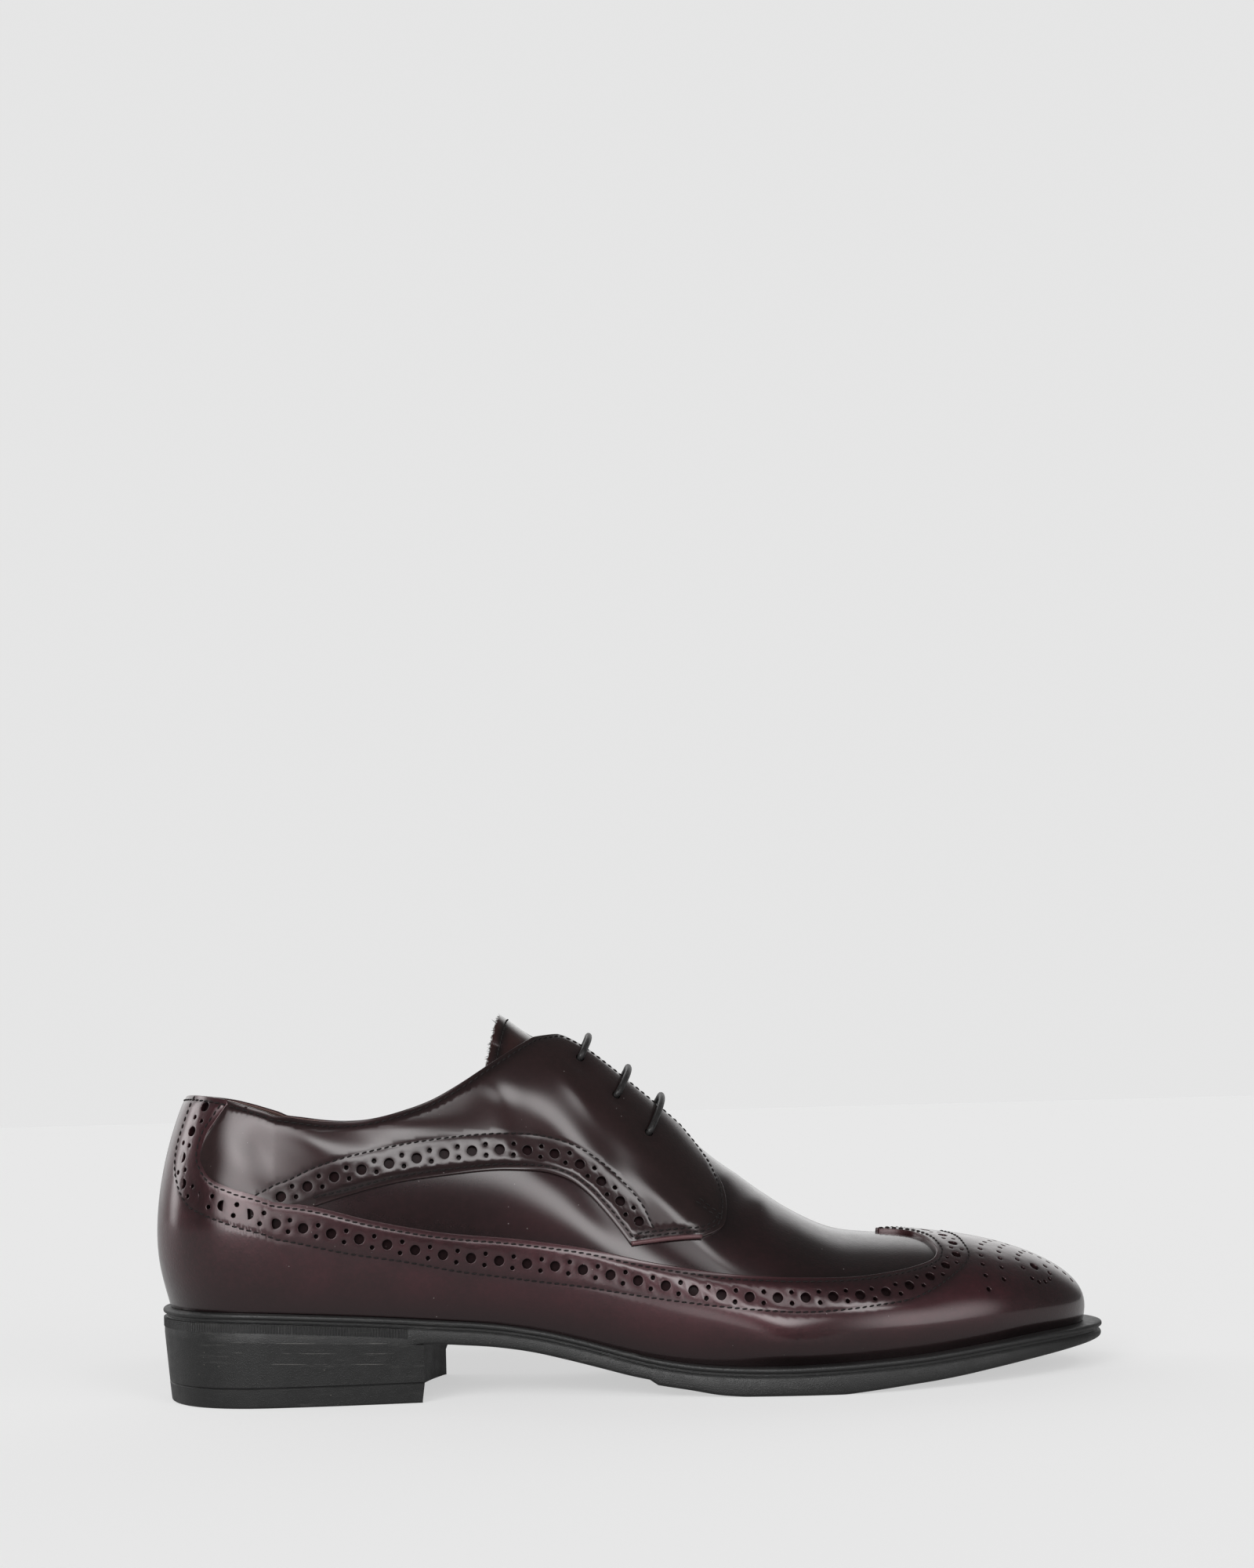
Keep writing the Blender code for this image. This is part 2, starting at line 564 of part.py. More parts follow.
def even_field(last):
    """Flat points in staggered rows, in a fan round the heel and a grid elsewhere."""
    points = []
    rows = np.arange(0.5, last.girth.max() / MESH_UP)
    for row, side in ((row, side) for row in rows for side in (-1, 1)):
        stagger = 0.5 * (row % 2 > 1)
        for x in np.arange(HEEL_TURN + stagger * MESH_ALONG, TOE_TURN, MESH_ALONG):
            points.append((x, side * row * MESH_UP))
        for x in np.arange(TOE_TURN + stagger * MESH_UP, TOE_TURN + last.girth.max(), MESH_UP):
            points.append((x, side * row * MESH_UP))
        for turn in np.arange(0.06 + 0.06 * stagger, 1.0, 0.12):
            away = row * MESH_UP
            points.append((HEEL_TURN - away * cos(turn * pi / 2), side * away * sin(turn * pi / 2)))
    return np.array(points)


def cut_pattern(last, loops):
    """Flat points and triangles of a leather piece with the given outline and openings."""
    border = np.vstack(loops)
    field = lattice(last)
    field = field[inside(field, loops)]
    gaps = last.surface(field)[:, None] - last.surface(border)[None]
    field = field[np.linalg.norm(gaps, axis=2).min(1) > 0.4 * MESH_UP]
    points = np.vstack([border, field])
    edges, start = [], 0
    for loop in loops:
        count = len(loop)
        edges += [(start + i, start + (i + 1) % count) for i in range(count)]
        start += count
    flat = [tuple(point) for point in points]
    flat, _, faces = geometry.delaunay_2d_cdt(flat, edges, [], 0, 1e-7)[:3]
    flat, faces = np.array(flat), np.array(faces)
    return flat, faces[inside(flat[faces].mean(1), loops)]


def material(name, base):
    """A plain material of one of the COLOURS, one for each piece."""
    colour, roughness = COLOURS[base]
    made = bpy.data.materials.new(name)
    made.use_nodes = True
    shader = made.node_tree.nodes['Principled BSDF']
    shader.inputs['Base Color'].default_value = colour
    shader.inputs['Roughness'].default_value = roughness
    return made


def add_object(name, points, faces, base, collection=None):
    """A mesh object in the shoe's frame, from points measured from the back of the sole."""
    mesh = bpy.data.meshes.new(name)
    points = np.asarray(points, float) - (ORIGIN_FROM_BACK, 0, 0)
    mesh.from_pydata([tuple(p) for p in points], [], [tuple(int(i) for i in f) for f in faces])
    builder = bmesh.new()
    builder.from_mesh(mesh)
    bmesh.ops.recalc_face_normals(builder, faces=builder.faces)
    builder.to_mesh(mesh)
    builder.free()
    mesh.materials.append(material(name, base))
    made = bpy.data.objects.new(name, mesh)
    (collection or bpy.data.collections['longwing_brogue']).objects.link(made)
    return made


def leather(last, name, loops, level, thickness):
    """A leather piece whose outer face lies at a level over the last.

    Its triangles are turned outwards all together, so that a sliver can't be turned alone.
    """
    flat, faces = cut_pattern(last, loops)
    points = last.over(flat, level(flat) if callable(level) else level)
    corner = points[faces]
    facing_out = np.cross(corner[:, 1] - corner[:, 0], corner[:, 2] - corner[:, 0])
    outward = last.over(flat[faces[:, 0]], thickness) - last.over(flat[faces[:, 0]])
    if (facing_out * outward).sum() < 0:
        faces = faces[:, ::-1]
    mesh = bpy.data.meshes.new(name)
    mesh.from_pydata([tuple(p) for p in points - (ORIGIN_FROM_BACK, 0, 0)], [], faces.tolist())
    mesh.materials.append(material(name, 'leather'))
    made = bpy.data.objects.new(name, mesh)
    bpy.data.collections['longwing_brogue'].objects.link(made)
    solid = made.modifiers.new('thickness', 'SOLIDIFY')
    solid.thickness = thickness
    solid.offset = -1
    mesh.shade_smooth()


def round_stations(last, heel_count=9, side_count=26, toe_count=11):
    """Stations for the sole's sections, with a pair at the step of the tread."""
    middle = list(np.linspace(1, 2, side_count))
    for share in (TREAD_FROM, TREAD_FROM + TREAD_STEP_RUN):
        middle.append(1 + (share * SHOE_LENGTH - HEEL_TURN) / last.side_run)
    for share in (SOLE_UNDERSIDE[0][0] - 0.002, SOLE_UNDERSIDE[0][0] + 0.002):
        middle.append(1 + (share * SHOE_LENGTH - HEEL_TURN) / last.side_run)
    heel = list(np.linspace(0, 1, heel_count)[:-1])
    toe = list(np.linspace(2, 3, toe_count)[1:])
    return np.array(heel + sorted(middle) + toe)


def sole_ring(last, stations, inset, height):
    """One loop round the sole: the plan outline less an inset, at a height that follows x."""
    count = len(stations)
    station = np.concatenate([stations, stations[-2:0:-1]])
    side = np.concatenate([np.full(count, -1.0), np.full(count - 2, 1.0)])
    spine, outward = last.section_frames(station, side)
    run = np.interp(station, (0, 1, 2, 3), last.turns)
    place = np.where(side < 0, run, 2 * last.half - run) / last.step
    wrapped = np.append(last.sole_reach, last.sole_reach[0])
    reach = np.interp(place, np.arange(ROUND_STEPS + 1), wrapped)
    inset = inset(place) if callable(inset) else inset
    plan = spine + outward * np.reshape(reach - inset, (-1, 1))
    return np.column_stack([plan, height(plan[:, 0])])


def ringed_solid(name, rings, base):
    """A closed loft through rings of equal count, each end closed by strips across the shoe."""
    count = len(rings[0])
    half = count // 2
    faces = []
    for level in range(len(rings) - 1):
        low, high = level * count, (level + 1) * count
        for i in range(count):
            j = (i + 1) % count
            faces.append((low + i, low + j, high + j, high + i))
    for start in (0, (len(rings) - 1) * count):
        for i in range(half):
            near, far = (i, i + 1), ((count - i) % count, count - i - 1)
            strip = [start + near[0], start + near[1], start + far[1], start + far[0]]
            faces.append(tuple(dict.fromkeys(strip)))
    return add_object(name, np.vstack(rings), faces, base)


def leather_inset(last):
    """Distance from the sole's edge to the foot of the leather, read at places round the shoe."""
    values = BALL_WIDTH * last.column(1, 2)
    return lambda place: np.interp(place, np.arange(ROUND_STEPS + 1), np.append(values, values[0]))


def outsole(last):
    """The moulded sole: welt, rim, groove, side wall, arch, tread and toe spring."""
    stations = round_stations(last)
    foot = leather_inset(last)

    def below_welt(depth):
        return lambda x: welt_height(x) - depth

    def above_underside(rise):
        return lambda x: underside_height(x) + rise

    groove = WELT_RIM + GROOVE_TURN
    steps = (
        (lambda place: foot(place) + WALL, below_welt(0)),
        (RIM_ROUND, below_welt(0)),
        (0.0, below_welt(RIM_ROUND)),
        (0.0, below_welt(WELT_RIM)),
        (WELT_GROOVE, below_welt(groove)),
        (WELT_GROOVE, below_welt(groove + GROOVE_HEIGHT)),
        (0.5 * SIDE_TAPER, below_welt(groove + GROOVE_HEIGHT + GROOVE_FADE)),
        (SIDE_TAPER, above_underside(EDGE_ROUND)),
        (SIDE_TAPER + EDGE_ROUND, above_underside(0)),
    )
    rings = [sole_ring(last, stations, inset, height) for inset, height in steps]
    return ringed_solid('outsole', rings, 'rubber')


def heel_piece(last, name, top_inset, foot_inset, top, foot, cutter):
    """A layer of the heel: the back of the sole's outline, its breast cut by a round cutter."""
    blank = HEEL_BLANK * SHOE_LENGTH
    last_station = 1 + (blank - HEEL_TURN) / last.side_run
    stations = np.concatenate([np.linspace(0, 1, 12), np.linspace(1, last_station, 5)[1:]])
    rings = []
    for inset, height in ((top_inset, top), (foot_inset, foot)):
        both = sole_ring(last, np.append(stations, 3.0), inset, height)
        rings.append(np.delete(both, len(stations), 0))
    made = ringed_heel(name, rings)
    cut = made.modifiers.new('breast', 'BOOLEAN')
    cut.object = cutter
    cut.operation = 'DIFFERENCE'
    return made


def ringed_heel(name, rings):
    """A closed prism between two loops of equal count."""
    count = len(rings[0])
    faces = [tuple(range(count)), tuple(range(2 * count - 1, count - 1, -1))]
    for i in range(count):
        j = (i + 1) % count
        faces.append((i, j, count + j, count + i))
    return add_object(name, np.vstack(rings), faces, 'rubber')


def breast_cutter():
    """An upright cylinder whose back hollows the front of the heel."""
    ends = np.array([(BREAST_LATERAL * SHOE_LENGTH, -SEAT_LATERAL * BALL_WIDTH),
                     (BREAST_MEDIAL * SHOE_LENGTH, SEAT_MEDIAL * BALL_WIDTH)])
    middle, chord = ends.mean(0), ends[1] - ends[0]
    span = np.hypot(*chord)
    forward = np.array([chord[1], -chord[0]]) / span
    centre = middle + forward * (BREAST_RADIUS ** 2 - span ** 2 / 4) ** 0.5
    place = (centre[0] - ORIGIN_FROM_BACK, centre[1], 0)
    bpy.ops.mesh.primitive_cylinder_add(
        vertices=128, radius=BREAST_RADIUS, depth=4 * HEEL_HEIGHT, location=place)
    cutter = bpy.context.object
    cutter.name = 'breast_cutter'
    cutter.hide_render = True
    cutter.display_type = 'WIRE'
    for collection in cutter.users_collection:
        collection.objects.unlink(cutter)
    bpy.data.collections['cutters'].objects.link(cutter)
    return cutter


def heel(last):
    """The heel block under the seat and the top lift that it stands on."""
    cutter = breast_cutter()
    foot = SIDE_TAPER + HEEL_TAPER

    def lift_top(x):
        return np.full_like(x, TOP_LIFT)

    heel_piece(last, 'heel_block', SIDE_TAPER, foot, seat_height, lift_top, cutter)
    heel_piece(last, 'top_lift', foot, foot + EDGE_ROUND / 2, lift_top, np.zeros_like, cutter)


def insole(last):
    """The board inside, cut to clear the lining."""
    stations = round_stations(last)
    foot = leather_inset(last)

    def inset(place):
        return foot(place) + WALL + 2 * CLEARANCE

    def seat(x):
        return welt_height(x) + CLEARANCE

    def top(x):
        return seat(x) + INSOLE_THICKNESS

    rings = [sole_ring(last, stations, inset, height) for height in (top, seat)]
    return ringed_solid('insole', rings, 'lining')


def lace_bar(last, name, eyelet):
    """One bar of the lace, over both facings from eyelet to eyelet."""
    station, share, crossing = eyelet
    ends = [last.flat(station, side, share) for side in (-1, 1)]
    radius = LACE_DIAMETER / 2
    level = LAYER_GAP + QUARTER_LEATHER + CLEARANCE + radius
    run = np.linspace(-1, 1, 17)
    reach = np.where(run < 0, -ends[0][1], ends[1][1])
    x = ends[0][0] + (ridge_x(crossing) - ends[0][0]) * np.cos(run * pi / 2)
    path = last.over(np.stack([x, run * reach], 1), level) - (ORIGIN_FROM_BACK, 0, 0)
    curve = bpy.data.curves.new(name, 'CURVE')
    curve.dimensions = '3D'
    curve.bevel_depth = radius
    curve.bevel_resolution = 2
    curve.use_fill_caps = True
    spline = curve.splines.new('POLY')
    spline.points.add(len(path) - 1)
    for point, place in zip(spline.points, path):
        point.co = (*place, 1)
    wire = bpy.data.objects.new(name + '_wire', curve)
    bpy.context.scene.collection.objects.link(wire)
    bpy.context.view_layer.update()
    mesh = bpy.data.meshes.new_from_object(wire.evaluated_get(bpy.context.evaluated_depsgraph_get()))
    builder = bmesh.new()
    builder.from_mesh(mesh)
    bmesh.ops.remove_doubles(builder, verts=builder.verts, dist=0.00001)
    builder.to_mesh(mesh)
    builder.free()
    mesh.name = name
    mesh.materials.clear()
    mesh.materials.append(material(name, 'lace'))
    made = bpy.data.objects.new(name, mesh)
    bpy.data.collections['longwing_brogue'].objects.link(made)
    bpy.data.objects.remove(wire, do_unlink=True)


def clear_scene():
    """Start from nothing, with one collection for the shoe and one for its cutters."""
    for item in list(bpy.data.objects):
        bpy.data.objects.remove(item, do_unlink=True)
    for name in ('longwing_brogue', 'cutters'):
        collection = bpy.data.collections.new(name)
        bpy.context.scene.collection.children.link(collection)


def main():
    clear_scene()
    last = Last()
    outsole(last)
    heel(last)
    insole(last)
    collar = thin_out(last, collar_and_throat(last))
    leather(last, 'upper', [welt_line(last), collar], 0.0, WALL)
    wing = [welt_line(last, WING_LIFT), thin_out(last, wing_inner_edge(last))]
    leather(last, 'wing', wing, LAYER_GAP + WING_LEATHER, WING_LEATHER)
    for side, name in ((-1, 'quarter_lateral'), (1, 'quarter_medial')):
        outline = thin_out(last, quarter_outline(last, side))
        leather(last, name, [outline], LAYER_GAP + QUARTER_LEATHER, QUARTER_LEATHER)
    leather(last, 'tongue', [thin_out(last, tongue_outline())], tongue_level, TONGUE_LEATHER)
    for name, eyelet in zip(('lace_bar_top', 'lace_bar_middle', 'lace_bar_low'), EYELETS):
        lace_bar(last, name, eyelet)


main()
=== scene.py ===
# %% [markdown]
# A longwing brogue derby, dressed for its photograph
#
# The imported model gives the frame: every solid of the shoe, in metres, standing on the floor.
# This script lays the finished leather, holes, stitches, lace and rubber over those solids.
# A shoe is made from flat patterns pulled over a last, so the script works the same way:
# every leather piece is drawn as a flat pattern and laid over one shared last.

# %% Load the frame
from math import atan2, cos, pi, radians, sin, tan

import bpy
import numpy as np
from mathutils import Matrix, Vector, geometry


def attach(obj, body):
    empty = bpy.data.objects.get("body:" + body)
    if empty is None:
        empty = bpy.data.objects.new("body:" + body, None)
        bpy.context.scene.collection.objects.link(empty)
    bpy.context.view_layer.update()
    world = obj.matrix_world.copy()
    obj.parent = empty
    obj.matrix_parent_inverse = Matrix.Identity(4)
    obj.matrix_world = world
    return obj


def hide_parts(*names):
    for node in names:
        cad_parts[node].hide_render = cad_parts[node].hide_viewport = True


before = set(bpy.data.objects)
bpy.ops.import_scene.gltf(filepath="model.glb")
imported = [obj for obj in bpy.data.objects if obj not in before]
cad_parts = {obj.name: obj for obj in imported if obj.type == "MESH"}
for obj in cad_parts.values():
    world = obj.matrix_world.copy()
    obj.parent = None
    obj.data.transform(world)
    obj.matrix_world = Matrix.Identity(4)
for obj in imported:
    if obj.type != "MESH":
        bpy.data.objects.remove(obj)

bpy.context.view_layer.update()

# %% [markdown]
# The sizes repeat those of the solids, so that each finished piece lies exactly where its
# solid lies. Tables describe the last in shares of these sizes: a row for each section.

# %% The sizes of the shoe
SHOE_LENGTH = 0.306
BALL_WIDTH = 0.104
HEEL_HEIGHT = 0.0290
INSTEP_HEIGHT = 0.1125
BACK_HEIGHT = 0.0945
TREAD_STEP = 0.0012
TOP_LIFT = 0.0062
WALL = 0.0016
THROAT_GAP = 0.0130
CLEARANCE = 0.0003
HEEL_TURN = 0.124 * SHOE_LENGTH
TOE_TURN = 0.837 * SHOE_LENGTH
ORIGIN_FROM_BACK = 0.137 * SHOE_LENGTH
RIDGE_SWAY = 0.029 * BALL_WIDTH
UP_STEPS = 60
ROUND_STEPS = 640

# %% The shape of the sole and the last
SOLE_PLAN = (
    # along, lateral, medial
    (0.000, 0.000, 0.000),
    (0.010, 0.125, 0.125),
    (0.033, 0.226, 0.226),
    (0.072, 0.298, 0.298),
    (0.124, 0.327, 0.326),
    (0.180, 0.336, 0.327),
    (0.245, 0.337, 0.313),
    (0.327, 0.333, 0.281),
    (0.408, 0.355, 0.271),
    (0.490, 0.404, 0.298),
    (0.572, 0.462, 0.362),
    (0.637, 0.495, 0.425),
    (0.693, 0.505, 0.466),
    (0.745, 0.490, 0.476),
    (0.791, 0.457, 0.460),
    (0.837, 0.413, 0.427),
    (0.882, 0.360, 0.380),
    (0.925, 0.294, 0.317),
    (0.961, 0.216, 0.238),
    (0.985, 0.130, 0.145),
    (0.997, 0.055, 0.060),
    (1.000, 0.000, 0.000),
)

WELT_PROFILE = (
    # along, height
    (0.000, 1.016), (0.100, 1.000), (0.163, 0.963), (0.229, 0.914), (0.284, 0.862),
    (0.343, 0.798), (0.392, 0.703), (0.425, 0.614), (0.458, 0.514), (0.490, 0.424),
    (0.529, 0.350), (0.572, 0.312), (0.621, 0.300), (0.670, 0.312), (0.719, 0.335),
    (0.768, 0.362), (0.810, 0.397), (0.850, 0.434), (0.889, 0.466), (0.931, 0.488),
    (0.971, 0.498), (1.000, 0.498),
)
SOLE_UNDERSIDE = (
    # along, height
    (0.294, 0.562), (0.343, 0.511), (0.376, 0.452), (0.408, 0.369), (0.441, 0.275),
    (0.474, 0.181), (0.500, 0.124), (0.530, 0.072), (0.558, 0.020), (0.582, 0.000),
    (0.680, 0.000), (0.706, 0.024), (0.745, 0.062), (0.778, 0.090), (0.810, 0.124),
    (0.843, 0.168), (0.882, 0.217), (0.915, 0.255), (0.948, 0.290), (0.980, 0.317),
    (1.000, 0.328),
)
SEAT_BACK_HEIGHT = 0.742    # underside of the sole over the heel, share of the heel height
SEAT_FRONT_HEIGHT = 0.603
TREAD_FROM = 0.490          # share of the length where the forefoot tread starts
TREAD_STEP_RUN = 0.008

# The ridge of the last over the instep and vamp: shares of the length and the instep height
RIDGE_PROFILE = (
    # along, height
    (0.124, 1.084), (0.200, 1.093), (0.260, 1.093), (0.310, 1.084), (0.353, 1.066),
    (0.390, 1.034), (0.420, 1.007), (0.438, 0.982), (0.471, 0.910), (0.503, 0.834),
    (0.536, 0.751), (0.569, 0.656), (0.605, 0.582), (0.637, 0.517), (0.671, 0.460),
    (0.705, 0.419), (0.739, 0.405), (0.791, 0.395), (0.837, 0.378),
)

# Sections of the last, from the back of the heel (station 0) by the end of the heel's round (1)
# and the start of the toe's round (2) to the tip of the toe (3)
LAST_SECTIONS = (
    # station, welt reach lateral, medial, bulge lateral, medial, bulge height, shoulder, flat
    (0.00, 0.040, 0.040, 0.036, 0.036, 0.190, 0.40, 0.56),
    (0.50, 0.038, 0.038, 0.032, 0.032, 0.190, 0.42, 0.57),
    (1.00, 0.036, 0.036, 0.026, 0.026, 0.185, 0.44, 0.58),
    (1.17, 0.034, 0.034, 0.026, 0.026, 0.175, 0.45, 0.54),
    (1.33, 0.034, 0.034, 0.028, 0.033, 0.155, 0.42, 0.54),
    (1.48, 0.038, 0.036, 0.028, 0.038, 0.130, 0.33, 0.43),
    (1.60, 0.048, 0.042, 0.026, 0.034, 0.110, 0.32, 0.44),
    (1.73, 0.058, 0.050, 0.024, 0.028, 0.092, 0.36, 0.50),
    (1.84, 0.062, 0.055, 0.022, 0.024, 0.080, 0.44, 0.56),
    (2.00, 0.064, 0.060, 0.018, 0.019, 0.066, 0.52, 0.60),
    (2.40, 0.070, 0.068, 0.013, 0.013, 0.056, 0.52, 0.55),
    (2.75, 0.075, 0.074, 0.009, 0.009, 0.050, 0.48, 0.50),
    (3.00, 0.077, 0.077, 0.006, 0.006, 0.046, 0.45, 0.48),
)
TOE_RIDGE_SLOPE = 0.15

# Lines drawn on the last. The topline is a height above the floor, as a share of BACK_HEIGHT
TOPLINE = (
    # station, height
    (0.00, 1.003), (0.35, 1.003), (0.60, 0.990), (0.85, 0.960), (0.96, 0.942), (1.02, 0.926),
    (1.06, 0.912), (1.10, 0.908), (1.14, 0.916), (1.18, 0.938), (1.22, 0.970), (1.26, 1.019),
    (1.30, 1.076), (1.34, 1.134), (1.37, 1.172),
)
# The other lines are a station and a share of the girth, from the welt (0) to the ridge (1)
WING_EDGE = (
    # station, share
    (0.66, 0.600), (0.60, 0.555), (0.54, 0.500), (0.53, 0.450), (0.58, 0.405), (0.76, 0.355),
    (0.92, 0.333), (1.05, 0.305), (1.13, 0.267), (1.25, 0.238), (1.37, 0.246), (1.48, 0.272),
    (1.60, 0.309), (1.73, 0.348), (1.82, 0.385), (1.89, 0.432), (1.925, 0.480), (1.945, 0.570),
    (1.947, 0.680), (1.940, 0.820), (1.920, 0.930), (1.885, 1.000),
)
FRONT_EDGE = (
    # station, share
    (1.600, 0.900), (1.618, 0.845), (1.630, 0.760), (1.636, 0.660), (1.633, 0.570),
    (1.626, 0.510), (1.612, 0.470),
)
BAND_END = (
    # station, share
    (1.594, 0.433), (1.542, 0.377), (1.494, 0.323),
)
BAND_EDGE = (
    # station, share
    (1.494, 0.323), (1.478, 0.358), (1.458, 0.395), (1.436, 0.427), (1.412, 0.447),
    (1.385, 0.452), (1.338, 0.438), (1.250, 0.407), (1.162, 0.373), (1.100, 0.338),
    (1.060, 0.319),
)
FACING_TOP = 1.418          # station of the top corner of the lacing edge
FACING_FOOT = 1.585
THROAT_FOOT = 1.560         # where the slit over the tongue ends
CORNER = 0.055 * BALL_WIDTH  # rounding of the top corner of the facing
TONGUE_TOP = 1.3275
TONGUE_FOOT = 1.640
TONGUE_HALF_WIDTH = 0.29 * BALL_WIDTH
TONGUE_SPRING = 0.0017
SPRING_HALF_WIDTH = 0.19 * BALL_WIDTH
TONGUE_EDGE = (
    # along, across
    (0.000, 0.00), (-0.029, 0.40), (-0.055, 0.68), (-0.075, 0.90), (-0.065, 0.97), (0.000, 1.00),
    (0.850, 1.00), (0.955, 0.80), (1.000, 0.50), (1.000, 0.00),
)
TONGUE_RISE = (
    # along, rise off the last
    (-0.075, 1.50), (0.000, 1.00), (0.056, 0.20), (0.104, -0.50), (0.184, -1.35),
    (0.264, -1.35), (0.392, -0.80), (0.552, -0.45), (1.000, -0.20),
)
EYELETS = (
    # station, share, station where the bar crosses the ridge
    (1.436, 0.860, 1.448), (1.486, 0.803, 1.505), (1.530, 0.735, 1.553),
)

# %% [markdown]
# A few points make a smooth line in two ways: a curve of heights over a distance, or a line
# drawn through points of a plane. Both are cubic, so no corner shows in the polish.

# %% Smooth lines through a few points
def curve_through(rows, at):
    place, value = np.array(rows, float).T
    slope = np.gradient(value, place)
    at = np.clip(at, place[0], place[-1])
    cell = np.clip(np.searchsorted(place, at, side="right") - 1, 0, len(place) - 2)
    width = place[cell + 1] - place[cell]
    t = (at - place[cell]) / width
    start = value[cell] * (1 + 2 * t) * (1 - t) ** 2 + slope[cell] * width * t * (1 - t) ** 2
    end = value[cell + 1] * t * t * (3 - 2 * t) + slope[cell + 1] * width * t * t * (t - 1)
    return start + end


def line_through(points, count, closed=False):
    points = np.array(points, float)
    if closed:
        points = np.vstack([points[-3:], points, points[:4]])
    chord = np.hypot(*np.diff(points, axis=0).T)
    run = np.concatenate([[0], np.cumsum(np.maximum(chord, 1e-9))])
    ends = (run[3], run[-4]) if closed else (run[0], run[-1])
    dense = np.linspace(*ends, 40 * len(points))
    track = np.stack([curve_through(np.stack([run, axis], 1), dense) for axis in points.T], 1)
    length = np.concatenate([[0], np.cumsum(np.hypot(*np.diff(track, axis=0).T))])
    even = np.linspace(0, length[-1], count + 1 if closed else count)
    line = np.stack([np.interp(even, length, axis) for axis in track.T], 1)
    return line[:-1] if closed else line


def welt_height(x):
    return HEEL_HEIGHT * curve_through(WELT_PROFILE, x / SHOE_LENGTH)


def seat_height(x):
    share = np.asarray(x) / SHOE_LENGTH / SOLE_UNDERSIDE[0][0]
    return HEEL_HEIGHT * (SEAT_BACK_HEIGHT + (SEAT_FRONT_HEIGHT - SEAT_BACK_HEIGHT) * share)


def underside_height(x):
    share = np.asarray(x) / SHOE_LENGTH
    before_tread = np.clip((TREAD_FROM - share) / TREAD_STEP_RUN + 1, 0, 1)
    arch = np.maximum(curve_through(SOLE_UNDERSIDE, share), 0)
    arch = HEEL_HEIGHT * arch + TREAD_STEP * before_tread
    return np.where(share < SOLE_UNDERSIDE[0][0], seat_height(x), arch)

# %% [markdown]
# The last is a ring of upright sections: fans round the heel and the toe, parallel planes
# between them. A place on it is a station along the shoe, a side, and a share of the way up.

# %% Sections round the last
HEEL_RUN = pi / 2 * 0.33 * BALL_WIDTH
SIDE_RUN = TOE_TURN - HEEL_TURN
TOE_RUN = pi / 2 * 0.40 * BALL_WIDTH
HALF_ROUND = HEEL_RUN + SIDE_RUN + TOE_RUN
TURNS = np.cumsum([0, HEEL_RUN, SIDE_RUN, TOE_RUN])
STEP = HALF_ROUND / (ROUND_STEPS // 2)

run_round = np.arange(ROUND_STEPS) * STEP
SIDE = np.where(run_round <= HALF_ROUND + 1e-9, -1.0, 1.0)
run_round = np.where(SIDE < 0, run_round, 2 * HALF_ROUND - run_round)
STATION = np.interp(run_round, TURNS, (0, 1, 2, 3))


def section_frames(station, side):
    heel = np.clip(station, 0, 1) * pi / 2
    toe = np.clip(station - 2, 0, 1) * pi / 2
    share = np.clip(station - 1, 0, 1)
    along = np.where(station < 1, -np.cos(heel), np.sin(toe))
    across = np.where(station < 1, np.sin(heel), np.cos(toe))
    sway = RIDGE_SWAY * np.sin(pi * share) ** 2
    spine = np.stack([HEEL_TURN + share * SIDE_RUN, sway], -1)
    return spine, np.stack([along, side * across], -1)


def fair(values, passes):
    for _ in range(passes * 8):
        values = (np.roll(values, 1, 0) + 2 * values + np.roll(values, -1, 0)) / 4
    return values


def column(lateral, medial):
    rows = np.array(LAST_SECTIONS)
    left = curve_through(rows[:, (0, lateral)], STATION)
    right = curve_through(rows[:, (0, medial)], STATION)
    return fair(np.where(SIDE < 0, left, right), 4)


# %% The edge of the sole, seen from each section
SPINE, OUTWARD = section_frames(STATION, SIDE)


def plan_reach():
    plan = [(x * SHOE_LENGTH, -a * BALL_WIDTH) for x, a, _ in SOLE_PLAN]
    plan += [(x * SHOE_LENGTH, b * BALL_WIDTH) for x, _, b in SOLE_PLAN[-2:0:-1]]
    edge = line_through(plan, 4000, closed=True)
    x = np.clip(edge[:, 0], HEEL_TURN, TOE_TURN)
    share = (x - HEEL_TURN) / SIDE_RUN
    away = edge - np.stack([x, RIDGE_SWAY * np.sin(pi * share) ** 2], 1)
    distance = np.hypot(*away.T)
    turn = np.degrees(np.arctan2(away[:, 0], np.abs(away[:, 1])))
    station = np.where(edge[:, 0] < HEEL_TURN, 1 + turn / 90, 1 + share)
    station = np.where(edge[:, 0] > TOE_TURN, 2 + turn / 90, station)
    reach = np.empty(ROUND_STEPS)
    for side in (-1, 1):
        mine = away[:, 1] * side >= 0
        order = np.argsort(station[mine])
        here = SIDE == side
        reach[here] = np.interp(STATION[here], station[mine][order], distance[mine][order])
    return fair(reach, 6)


SOLE_REACH = plan_reach()

# %% [markdown]
# Each section is two cubic curves: one swells out from the welt to the widest line, the other
# closes over the foot to the ridge. The grid of all sections is smoothed a little at the joins.

# %% The grid of the last
JOIN_REACH = 0.012


